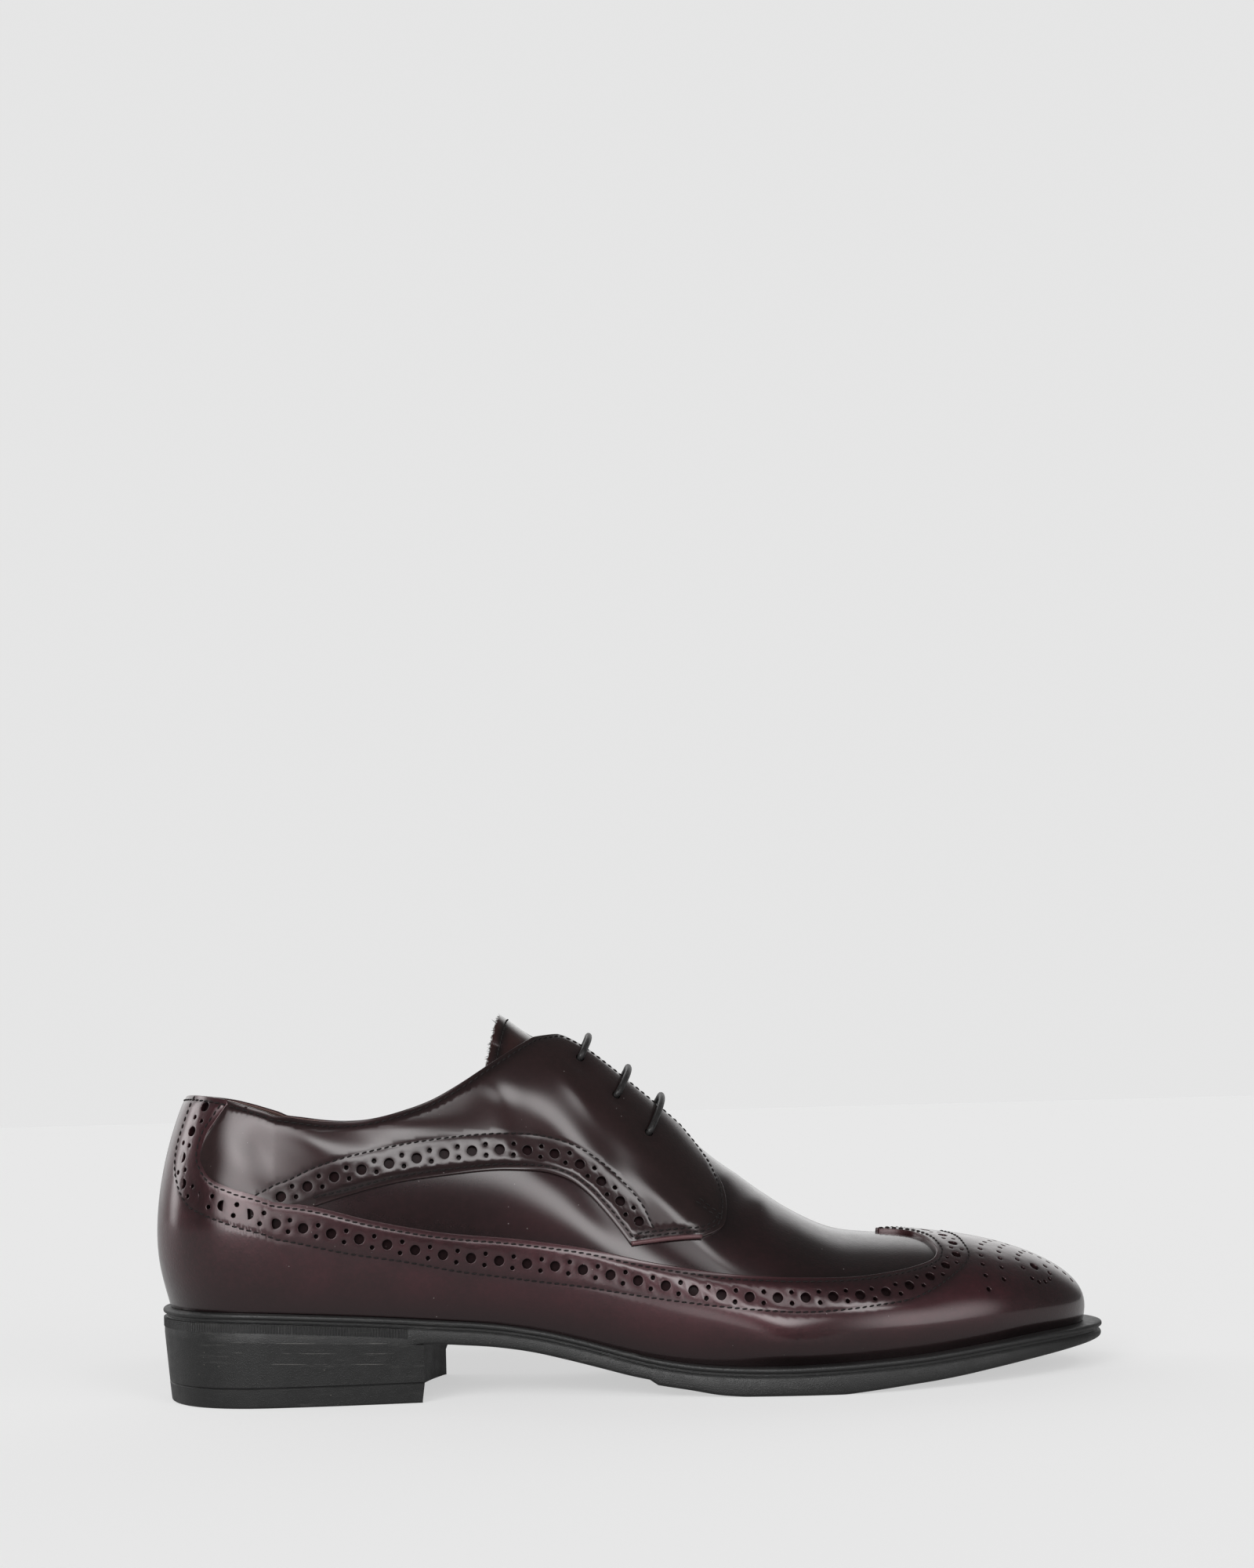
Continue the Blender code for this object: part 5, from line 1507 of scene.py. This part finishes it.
def ribbed_band():
    end = 1 + (RIBS_TO * SHOE_LENGTH - HEEL_TURN) / SIDE_RUN
    run = np.interp(end, (0, 1, 2, 3), TURNS)
    count = int(8 * run / RIB_PITCH)
    place = np.linspace(-run, run, count)
    station, side = np.interp(np.abs(place), TURNS, (0, 1, 2, 3)), np.where(place > 0, 1.0, -1.0)
    spine, outward = section_frames(station, side)
    reach = reach_at(station, side)
    rib = RIB_HEIGHT * np.array([1, 1, 0, 0])[np.arange(count) % 4]
    x = (spine + outward * reach[:, None])[:, 0]
    high = welt_height(x) - RIB_TOP
    rows = []
    for out, height in ((0.0006, high), (-rib, high - 0.0002), (-rib, high - RIB_LENGTH),
                        (0.0006, high - RIB_LENGTH - 0.0002)):
        plan = spine + outward * (reach - SIDE_TAPER - out)[:, None]
        rows.append(np.column_stack([plan, height]))
    faces = [(k * count + i, (k + 1) * count + i, (k + 1) * count + i + 1, k * count + i + 1)
             for k in range(3) for i in range(count - 1)]
    band = make_piece("ribbed_band", np.vstack(rows), faces)
    band.data.set_sharp_from_angle(angle=radians(25))


ribbed_band()

# %% [markdown]
# Inside lies a sock of lining leather over the insole board.

# %% The sock
SOCK_THICKNESS = 0.0025
sock_stations = ring_stations(20, 60, 20)
sock_edge = WALL + 2 * CLEARANCE
sock_rings = [sole_ring(sock_stations, sock_edge + out, lambda x, up=up: welt_height(x) + CLEARANCE + up,
                        True) for out, up in ((0, 0), (0, SOCK_THICKNESS - 0.0004),
                                              (0.0003, SOCK_THICKNESS))]
loft("sock", sock_rings[::-1], ["insole"])

# %% [markdown]
# Finishes next. Effects that several materials share are node groups: the fine grain of the
# skin, the clouded dye under the polish, and fine rubbing marks.

# %% Helpers for node groups
def new_group(name, inputs, outputs):
    group = bpy.data.node_groups.new(name, "ShaderNodeTree")
    for label, kind, value in inputs:
        socket = group.interface.new_socket(label, in_out="INPUT", socket_type=kind)
        if value is not None:
            socket.default_value = value
    for label, kind in outputs:
        group.interface.new_socket(label, in_out="OUTPUT", socket_type=kind)
    return group, group.nodes.new("NodeGroupInput"), group.nodes.new("NodeGroupOutput")


def add_node(tree, kind, **settings):
    node = tree.nodes.new(kind)
    for key, value in settings.items():
        if key.startswith("in_"):
            node.inputs[key[3:].replace("_", " ")].default_value = value
        else:
            setattr(node, key, value)
    return node


def math_node(tree, operation, first, second=0.0, clamp=False):
    node = tree.nodes.new("ShaderNodeMath")
    node.operation, node.use_clamp = operation, clamp
    for socket, value in zip(node.inputs, (first, second)):
        if isinstance(value, (int, float)):
            socket.default_value = value
        else:
            tree.links.new(value, socket)
    return node.outputs[0]


def ramp(tree, source, stops):
    node = tree.nodes.new("ShaderNodeMapRange")
    node.interpolation_type = "SMOOTHSTEP"
    for socket, value in zip(("From Min", "From Max", "To Min", "To Max"), stops):
        node.inputs[socket].default_value = value
    tree.links.new(source, node.inputs["Value"])
    return node.outputs[0]


def mix_colour(tree, share, first, second):
    node = add_node(tree, "ShaderNodeMix", data_type="RGBA")
    for socket, value in zip((node.inputs[0], node.inputs[6], node.inputs[7]),
                             (share, first, second)):
        if isinstance(value, (tuple, float)):
            socket.default_value = value
        else:
            tree.links.new(value, socket)
    return node.outputs[2]


def noise(tree, scale, detail=2.0, roughness=0.5, stretch=None):
    where = tree.nodes.new("ShaderNodeTexCoord").outputs["Object"]
    if stretch:
        mapping = add_node(tree, "ShaderNodeMapping", in_Scale=stretch)
        tree.links.new(where, mapping.inputs["Vector"])
        where = mapping.outputs[0]
    node = add_node(tree, "ShaderNodeTexNoise", in_Scale=scale, in_Detail=detail,
                    in_Roughness=roughness)
    tree.links.new(where, node.inputs["Vector"])
    return node.outputs[0]

# %% The shared effects
def grain_group():
    tree, given, result = new_group("skin_grain", [("Cells", "NodeSocketFloat", 1100.0)],
                                    [("Height", "NodeSocketFloat"), ("Mottle", "NodeSocketFloat")])
    where = tree.nodes.new("ShaderNodeTexCoord").outputs["Object"]
    cells = add_node(tree, "ShaderNodeTexVoronoi", feature="SMOOTH_F1", in_Smoothness=0.6)
    tree.links.new(where, cells.inputs["Vector"])
    tree.links.new(given.outputs["Cells"], cells.inputs["Scale"])
    fine = noise(tree, 2600.0, 2.0)
    wide = noise(tree, 260.0, 3.0, 0.6)
    pebble = ramp(tree, cells.outputs["Distance"], (0.0, 0.55, 1.0, 0.0))
    height = math_node(tree, "ADD", math_node(tree, "MULTIPLY", pebble, 0.55),
                       math_node(tree, "MULTIPLY", fine, 0.30))
    height = math_node(tree, "ADD", height, math_node(tree, "MULTIPLY", wide, 0.65))
    tree.links.new(height, result.inputs["Height"])
    tree.links.new(ramp(tree, wide, (0.35, 0.65, 0.0, 1.0)), result.inputs["Mottle"])
    return tree


def dye_group():
    tree, given, result = new_group(
        "clouded_dye", [("Deep", "NodeSocketColor", (0.01, 0.006, 0.006, 1)),
                        ("Warm", "NodeSocketColor", (0.06, 0.012, 0.013, 1)),
                        ("Burnished", "NodeSocketColor", (0.004, 0.003, 0.003, 1)),
                        ("Shade", "NodeSocketFloat", 0.0), ("Warmth", "NodeSocketFloat", 0.5)],
        [("Color", "NodeSocketColor"), ("Cloud", "NodeSocketFloat")])
    clouds = ramp(tree, noise(tree, 22.0, 3.0, 0.55), (0.36, 0.66, 0.0, 1.0))
    specks = ramp(tree, noise(tree, 620.0, 2.0, 0.6), (0.42, 0.62, 0.0, 1.0))
    cloud = math_node(tree, "MULTIPLY", given.outputs["Warmth"],
                      math_node(tree, "ADD", math_node(tree, "MULTIPLY", clouds, 0.75),
                                math_node(tree, "MULTIPLY", specks, 0.25)))
    body = mix_colour(tree, cloud, given.outputs["Deep"], given.outputs["Warm"])
    # The shade value mixes the body towards the burnished colour: burnished dye, and painted shade where the
    # shade value carries it.
    body = mix_colour(tree, given.outputs["Shade"], body, given.outputs["Burnished"])
    tree.links.new(body, result.inputs["Color"])
    tree.links.new(clouds, result.inputs["Cloud"])
    return tree


def rubbing_group():
    tree, given, result = new_group("rubbing_marks", [("Amount", "NodeSocketFloat", 0.5)],
                                    [("Marks", "NodeSocketFloat")])
    lines = ramp(tree, noise(tree, 90.0, 4.0, 0.7, (0.6, 1.0, 9.0)), (0.56, 0.72, 0.0, 1.0))
    patch = ramp(tree, noise(tree, 30.0, 2.0), (0.45, 0.62, 0.0, 1.0))
    marks = math_node(tree, "MULTIPLY", math_node(tree, "MULTIPLY", lines, patch),
                      given.outputs["Amount"], clamp=True)
    tree.links.new(marks, result.inputs["Marks"])
    return tree


def dust_group():
    tree, given, result = new_group("dust_specks", [("Amount", "NodeSocketFloat", 0.5)],
                                    [("Dust", "NodeSocketFloat")])
    where = tree.nodes.new("ShaderNodeTexCoord").outputs["Object"]
    cells = add_node(tree, "ShaderNodeTexVoronoi", in_Scale=420.0, in_Randomness=1.0)
    tree.links.new(where, cells.inputs["Vector"])
    speck = ramp(tree, cells.outputs["Distance"], (0.05, 0.09, 1.0, 0.0))
    chosen = ramp(tree, noise(tree, 160.0, 1.0), (0.60, 0.64, 0.0, 1.0))
    dust = math_node(tree, "MULTIPLY", math_node(tree, "MULTIPLY", speck, chosen),
                     given.outputs["Amount"], clamp=True)
    tree.links.new(dust, result.inputs["Dust"])
    return tree


GRAIN, DYE, RUBBING, DUST = grain_group(), dye_group(), rubbing_group(), dust_group()

# %% [markdown]
# The leather is a dark dye that lets burgundy through where it was polished, burnished nearly
# black beside seams and holes, under a hard gloss. Painted shade darkens it in the stitch grooves,
# towards the welt, in the holes and on hidden backing, and the dark red of its cut edges is partly
# painted shade. The gloss is a clear coat over a satin skin.

# %% The leathers
def start_material(name, **settings):
    made = bpy.data.materials.new(name)
    made.use_nodes = True
    tree = made.node_tree
    shader = tree.nodes["Principled BSDF"]
    for label, value in settings.items():
        shader.inputs[label.replace("_", " ")].default_value = value
    return made, tree, shader


def use_group(tree, group, **values):
    node = tree.nodes.new("ShaderNodeGroup")
    node.node_tree = group
    for label, value in values.items():
        if isinstance(value, (int, float, tuple)):
            node.inputs[label].default_value = value
        else:
            tree.links.new(value, node.inputs[label])
    return node


def attribute(tree, name):
    return add_node(tree, "ShaderNodeAttribute", attribute_name=name).outputs["Fac"]


def add_bump(tree, shader, height, distance, strength=1.0):
    bump = add_node(tree, "ShaderNodeBump", in_Distance=distance, in_Strength=strength)
    tree.links.new(height, bump.inputs["Height"])
    tree.links.new(bump.outputs[0], shader.inputs["Normal"])


def polished_leather(name, deep, warm, warmth, edge=(0.024, 0.009, 0.009, 1.0), sheen=0.15):
    made, tree, shader = start_material(
        name, Specular_IOR_Level=sheen, Specular_Tint=(1.0, 0.48, 0.54, 1.0),
        Coat_Roughness=0.13, Coat_IOR=1.5)
    # The dark colour that the shade value mixes to is both burnished dye and painted shade.
    dye = use_group(tree, DYE, Deep=deep, Warm=warm, Burnished=(0.0045, 0.0035, 0.0035, 1.0),
                    Shade=attribute(tree, "shade"), Warmth=warmth)
    # Down the turned rims the colour goes to a dark red by default: the cut edge's own dye, darkened as painted
    # shade under the step of each edge.
    colour = mix_colour(tree, attribute(tree, "edge"), dye.outputs["Color"], edge)
    # Painted shade: hole walls, hidden backing and the tongue's back go near black.
    colour = mix_colour(tree, attribute(tree, "hole_and_backing_shade"), colour, (0.004, 0.003, 0.003, 1.0))
    dust = use_group(tree, DUST, Amount=0.5)
    colour = mix_colour(tree, dust.outputs[0], colour, (0.30, 0.28, 0.27, 1.0))
    tree.links.new(colour, shader.inputs["Base Color"])
    grain = use_group(tree, GRAIN)
    rub = use_group(tree, RUBBING, Amount=0.35)
    rough = math_node(tree, "ADD", math_node(tree, "MULTIPLY", grain.outputs["Mottle"], 0.07), 0.29)
    rough = math_node(tree, "ADD", rough, math_node(tree, "MULTIPLY", rub.outputs[0], 0.12))
    rough = math_node(tree, "ADD", rough, math_node(tree, "MULTIPLY", attribute(tree, "hole_and_backing_shade"), 0.3))
    tree.links.new(rough, shader.inputs["Roughness"])
    bare = math_node(tree, "SUBTRACT", 1.0, attribute(tree, "hole_and_backing_shade"), clamp=True)
    tree.links.new(bare, shader.inputs["Coat Weight"])
    add_bump(tree, shader, grain.outputs["Height"], 0.000035)
    return made


wing_leather = polished_leather("wing_leather", (0.013, 0.0060, 0.0065, 1),
                                (0.046, 0.011, 0.015, 1), 0.85, sheen=0.42)
panel_leather = polished_leather("panel_leather", (0.0125, 0.0082, 0.0078, 1),
                                 (0.028, 0.0135, 0.0140, 1), 0.55)
vamp_leather = polished_leather("vamp_leather", (0.0085, 0.0055, 0.0055, 1),
                                (0.030, 0.010, 0.012, 1), 0.55)
tongue_leather = polished_leather("tongue_leather", (0.017, 0.0095, 0.009, 1),
                                  (0.040, 0.016, 0.015, 1), 0.7, edge=(0.035, 0.022, 0.019, 1.0))
bead_leather = polished_leather("bead_leather", (0.020, 0.008, 0.009, 1),
                                (0.045, 0.014, 0.017, 1), 0.7)
# The turned foot is a lighter pinkish burgundy than the panels: painted highlight along its round bead.
foot_highlight_leather = polished_leather("foot_highlight_leather", (0.095, 0.045, 0.049, 1),
                                (0.130, 0.062, 0.066, 1), 0.7)

# %% [markdown]
# The other finishes: soft lining leather, black rubber with a satin skin, rubbing marks and
# dust, a waxed lace and waxed thread.

# %% Lining, rubber, lace and thread
def lining_leather(name, colour, worn):
    made, tree, shader = start_material(name, Roughness=0.6)
    dye = use_group(tree, DYE, Deep=colour, Warm=worn, Burnished=colour, Shade=0.0, Warmth=0.7)
    edged = mix_colour(tree, attribute(tree, "edge"), dye.outputs["Color"], (0.20, 0.11, 0.10, 1.0))
    tree.links.new(edged, shader.inputs["Base Color"])
    grain = use_group(tree, GRAIN, Cells=1500.0)
    rough = math_node(tree, "ADD", math_node(tree, "MULTIPLY", grain.outputs["Mottle"], 0.14), 0.50)
    tree.links.new(rough, shader.inputs["Roughness"])
    add_bump(tree, shader, grain.outputs["Height"], 0.00010)
    return made


SCUFFS = (0.0213, 0.0182, 0.0149)   # heights of the long light scuffs along the heel
SCUFF_FALL = 0.036
SCUFF_SPAN = (-0.024, -0.014, 0.024, 0.034)


def scuffs(tree):
    where = tree.nodes.new("ShaderNodeTexCoord").outputs["Object"]
    place = tree.nodes.new("ShaderNodeSeparateXYZ")
    tree.links.new(where, place.inputs[0])
    x, z = place.outputs[0], place.outputs[2]
    height = math_node(tree, "ADD", z, math_node(
        tree, "MULTIPLY", math_node(tree, "ADD", x, ORIGIN_FROM_BACK), SCUFF_FALL))
    total = 0.0
    for level in SCUFFS:
        away = math_node(tree, "ABSOLUTE", math_node(tree, "SUBTRACT", height, level))
        total = math_node(tree, "ADD", ramp(tree, away, (0.00004, 0.00018, 1.0, 0.0)), total)
    broken = ramp(tree, noise(tree, 110.0, 3.0, 0.7, (1.0, 1.0, 6.0)), (0.44, 0.60, 0.0, 1.0))
    start, end = (ramp(tree, x, SCUFF_SPAN[i:i + 2] + stops) for i, stops in ((0, (0.0, 1.0)), (2, (1.0, 0.0))))
    total = math_node(tree, "MULTIPLY", math_node(tree, "MULTIPLY", total, broken),
                      math_node(tree, "MULTIPLY", start, end))
    return math_node(tree, "MULTIPLY", total, 0.75)


def rubber(name, colour, worn):
    made, tree, shader = start_material(name, Roughness=0.45)
    rub = use_group(tree, RUBBING, Amount=0.75)
    dust = use_group(tree, DUST, Amount=0.7)
    grain = use_group(tree, GRAIN, Cells=2400.0)
    body = mix_colour(tree, rub.outputs[0], colour, worn)
    body = mix_colour(tree, scuffs(tree), body, (0.10, 0.095, 0.09, 1.0))
    body = mix_colour(tree, dust.outputs[0], body, (0.16, 0.15, 0.13, 1.0))
    tree.links.new(body, shader.inputs["Base Color"])
    rough = math_node(tree, "ADD", math_node(tree, "MULTIPLY", rub.outputs[0], 0.22), 0.40)
    rough = math_node(tree, "ADD", rough, math_node(tree, "MULTIPLY", grain.outputs["Mottle"], 0.10))
    tree.links.new(rough, shader.inputs["Roughness"])
    add_bump(tree, shader, grain.outputs["Height"], 0.00008)
    return made


def waxed_cord(name, colour, roughness, coat):
    made, tree, shader = start_material(name, Roughness=roughness, Coat_Weight=coat,
                                        Coat_Roughness=0.25, Specular_IOR_Level=0.3)
    fibre = noise(tree, 3800.0, 2.0, 0.6)
    lighter = tuple(c * 2.2 + 0.004 for c in colour[:3]) + (1.0,)
    tree.links.new(mix_colour(tree, ramp(tree, fibre, (0.4, 0.7, 0.0, 1.0)), colour, lighter),
                   shader.inputs["Base Color"])
    add_bump(tree, shader, fibre, 0.00012)
    return made


lining = lining_leather("lining_leather", (0.060, 0.030, 0.024, 1), (0.085, 0.045, 0.036, 1))
sock_leather = lining_leather("sock_leather", (0.10, 0.055, 0.035, 1), (0.15, 0.085, 0.055, 1))
black_rubber = rubber("black_rubber", (0.010, 0.010, 0.010, 1), (0.045, 0.044, 0.042, 1))
lace_wax = waxed_cord("waxed_lace", (0.010, 0.009, 0.009, 1), 0.5, 0.3)
thread = waxed_cord("waxed_thread", (0.006, 0.004, 0.004, 1), 0.7, 0.0)
fibre = waxed_cord("raw_fibre", (0.004, 0.0035, 0.0035, 1), 0.9, 0.0)

FINISHES = {
    "wing_leather": (wing_leather, "upper_leather"), "vamp_leather": (vamp_leather, "upper_leather"),
    "quarter_leather_lateral": (panel_leather, "upper_leather"),
    "quarter_leather_medial": (panel_leather, "upper_leather"),
    "tongue_leather": (tongue_leather, "tongue_leather"), "lining": (lining, "sock_leather"),
    "sock": (sock_leather, "sock_leather"), "rubber_sole": (black_rubber, "sole_rubber"),
    "heel_rubber": (black_rubber, "sole_rubber"), "top_lift_rubber": (black_rubber, "sole_rubber"),
    "wing_stitching": (thread, "lace_cord"), "quarter_stitching_lateral": (thread, "lace_cord"),
    "quarter_stitching_medial": (thread, "lace_cord"), "tongue_stitching": (thread, "lace_cord"),
    "tongue_fibres": (fibre, "tongue_leather"), "collar_bead": (bead_leather, "upper_leather"),
    "foot_bead": (foot_highlight_leather, "upper_leather"), "ribbed_band": (black_rubber, "sole_rubber"),
    "lace_top": (lace_wax, "lace_cord"), "lace_middle": (lace_wax, "lace_cord"),
    "lace_low": (lace_wax, "lace_cord"),
}
for name, (finish, slot) in FINISHES.items():
    pieces[name].data.materials.append(finish)

# %% [markdown]
# The photograph was taken level with the shoe, a little from the heel's side and slightly
# rolled, with the frame shifted up. A pale floor lies under it, and large soft lights in the air
# round it light it, because their reflections draw the form of polished leather.

# %% The floor
FLOOR_DYE = 0.42
FLOOR_GLOW = 0.5285          # seen by the camera
FLOOR_SHEEN = 0.14          # seen in the polish of the shoe


def pale_paper():
    made, tree, shader = start_material(
        "pale_floor", Base_Color=(FLOOR_DYE, FLOOR_DYE, FLOOR_DYE, 1.0), Roughness=0.30,
        Specular_IOR_Level=0.0, Emission_Color=(1.0, 1.0, 1.0, 1.0))
    seen = add_node(tree, "ShaderNodeLightPath").outputs["Is Camera Ray"]
    glow = math_node(tree, "MULTIPLY_ADD", seen, FLOOR_GLOW - FLOOR_SHEEN)
    glow.node.inputs[2].default_value = FLOOR_SHEEN
    tree.links.new(glow, shader.inputs["Emission Strength"])
    return made


def pale_floor():
    mesh = bpy.data.meshes.new("studio_floor")
    reach = 40.0
    corners = [(-reach, -reach, 0), (reach, -reach, 0), (reach, reach, 0), (-reach, reach, 0)]
    mesh.from_pydata(corners, [], [(0, 1, 2, 3)])
    mesh.materials.append(pale_paper())
    floor = bpy.data.objects.new("studio_floor", mesh)
    bpy.context.scene.collection.objects.link(floor)


pale_floor()

# %% The camera
YAW = radians(6.0)
ROLL = radians(1.48)
CAMERA_AWAY = 0.620
CAMERA_HEIGHT = 0.0888
CAMERA_SIDE = -0.0036
FOCAL_PIXELS = 2430
HORIZON_PIXELS = 1410.6
PHOTO = (1600, 2000)


def place_camera():
    right = Vector((cos(YAW), -sin(YAW), 0))
    ahead = Vector((sin(YAW), cos(YAW), 0))
    up = Vector((0, 0, 1))
    place = Vector((SHOE_LENGTH / 2 - ORIGIN_FROM_BACK, 0, CAMERA_HEIGHT))
    place += right * CAMERA_SIDE - ahead * CAMERA_AWAY
    lens = bpy.data.cameras.new("photo_camera")
    lens.sensor_fit = "VERTICAL"
    lens.sensor_height = 36.0
    lens.lens = 36.0 * FOCAL_PIXELS / PHOTO[1]
    lens.shift_y = (HORIZON_PIXELS - PHOTO[1] / 2) / PHOTO[1]
    lens.clip_start, lens.clip_end = 0.05, 30.0
    camera = bpy.data.objects.new("photo_camera", lens)
    bpy.context.scene.collection.objects.link(camera)
    across = right * cos(ROLL) - up * sin(ROLL)
    upright = right * sin(ROLL) + up * cos(ROLL)
    turned = Matrix((across, upright, -ahead)).transposed().to_4x4()
    camera.matrix_world = Matrix.Translation(place) @ turned
    bpy.context.scene.camera = camera
    return camera


camera = place_camera()

# %% The lights
SOFT_LIGHTS = (
    # turn to the toe's side, height, half width and half height in degrees, strength
    (-29, 31, 32, 16, 5.6),
    (-31, 8, 27, 24, 4.4),
    (3, 25, 10, 8, 6.5),
    (10, 44, 7, 6, 3.0),
    (29, 46, 11, 9, 6.0),
    (-112, 18, 14, 30, 3.0),
    (40, 12, 30, 28, 2.3),
    (-150, 25, 40, 40, 0.9),
    (160, 20, 40, 30, 0.9),
)
PALE = 0.788
DIM = 0.10


def soft_light_group():
    """A patch of light seen in a direction, bright in the middle and fading out at its rim."""
    tree, given, result = new_group(
        "soft_light", [("Direction", "NodeSocketVector", None), ("Ahead", "NodeSocketVector", None),
                       ("Across", "NodeSocketVector", None), ("Above", "NodeSocketVector", None),
                       ("Strength", "NodeSocketFloat", 1.0)], [("Light", "NodeSocketFloat")])
    measured = {}
    for label in ("Ahead", "Across", "Above"):
        dot = add_node(tree, "ShaderNodeVectorMath", operation="DOT_PRODUCT")
        tree.links.new(given.outputs["Direction"], dot.inputs[0])
        tree.links.new(given.outputs[label], dot.inputs[1])
        measured[label] = dot.outputs["Value"]
    square = [math_node(tree, "MULTIPLY", measured[label], measured[label])
              for label in ("Across", "Above")]
    away = math_node(tree, "SQRT", math_node(tree, "ADD", *square))
    patch = ramp(tree, away, (0.30, 1.0, 1.0, 0.0))
    front = math_node(tree, "GREATER_THAN", measured["Ahead"], 0.0)
    lit = math_node(tree, "MULTIPLY", math_node(tree, "MULTIPLY", patch, front),
                    given.outputs["Strength"])
    tree.links.new(lit, result.inputs["Light"])
    return tree


def studio_air():
    """The lights stand far off, in the air round the shoe; the camera sees plain pale air."""
    world = bpy.data.worlds.new("studio_air")
    world.use_nodes = True
    tree = world.node_tree
    where = tree.nodes.new("ShaderNodeTexCoord").outputs["Generated"]
    group = soft_light_group()
    total = DIM
    for turn, height, half_width, half_height, strength in SOFT_LIGHTS:
        a, e = radians(turn), radians(height)
        ahead = Vector((sin(a) * cos(e), -cos(a) * cos(e), sin(e)))
        across = Vector((cos(a), sin(a), 0)) / sin(radians(half_width))
        above = ahead.cross(Vector((cos(a), sin(a), 0))) / sin(radians(half_height))
        node = use_group(tree, group, Direction=where, Ahead=tuple(ahead), Across=tuple(across),
                         Above=tuple(above), Strength=strength)
        total = math_node(tree, "ADD", node.outputs["Light"], total)
    seen = add_node(tree, "ShaderNodeLightPath").outputs["Is Camera Ray"]
    strength = math_node(tree, "ADD", math_node(tree, "MULTIPLY", total, math_node(tree, "SUBTRACT", 1.0, seen)),
                         math_node(tree, "MULTIPLY", seen, PALE))
    air = tree.nodes["Background"]
    air.inputs[0].default_value = (1.0, 1.0, 1.0, 1.0)
    tree.links.new(strength, air.inputs[1])
    return world


bpy.context.scene.world = studio_air()
bpy.context.scene.view_settings.view_transform = "Standard"

# %% [markdown]
# Last, the view layer is brought up to date.

# %% Finish
bpy.context.view_layer.update()
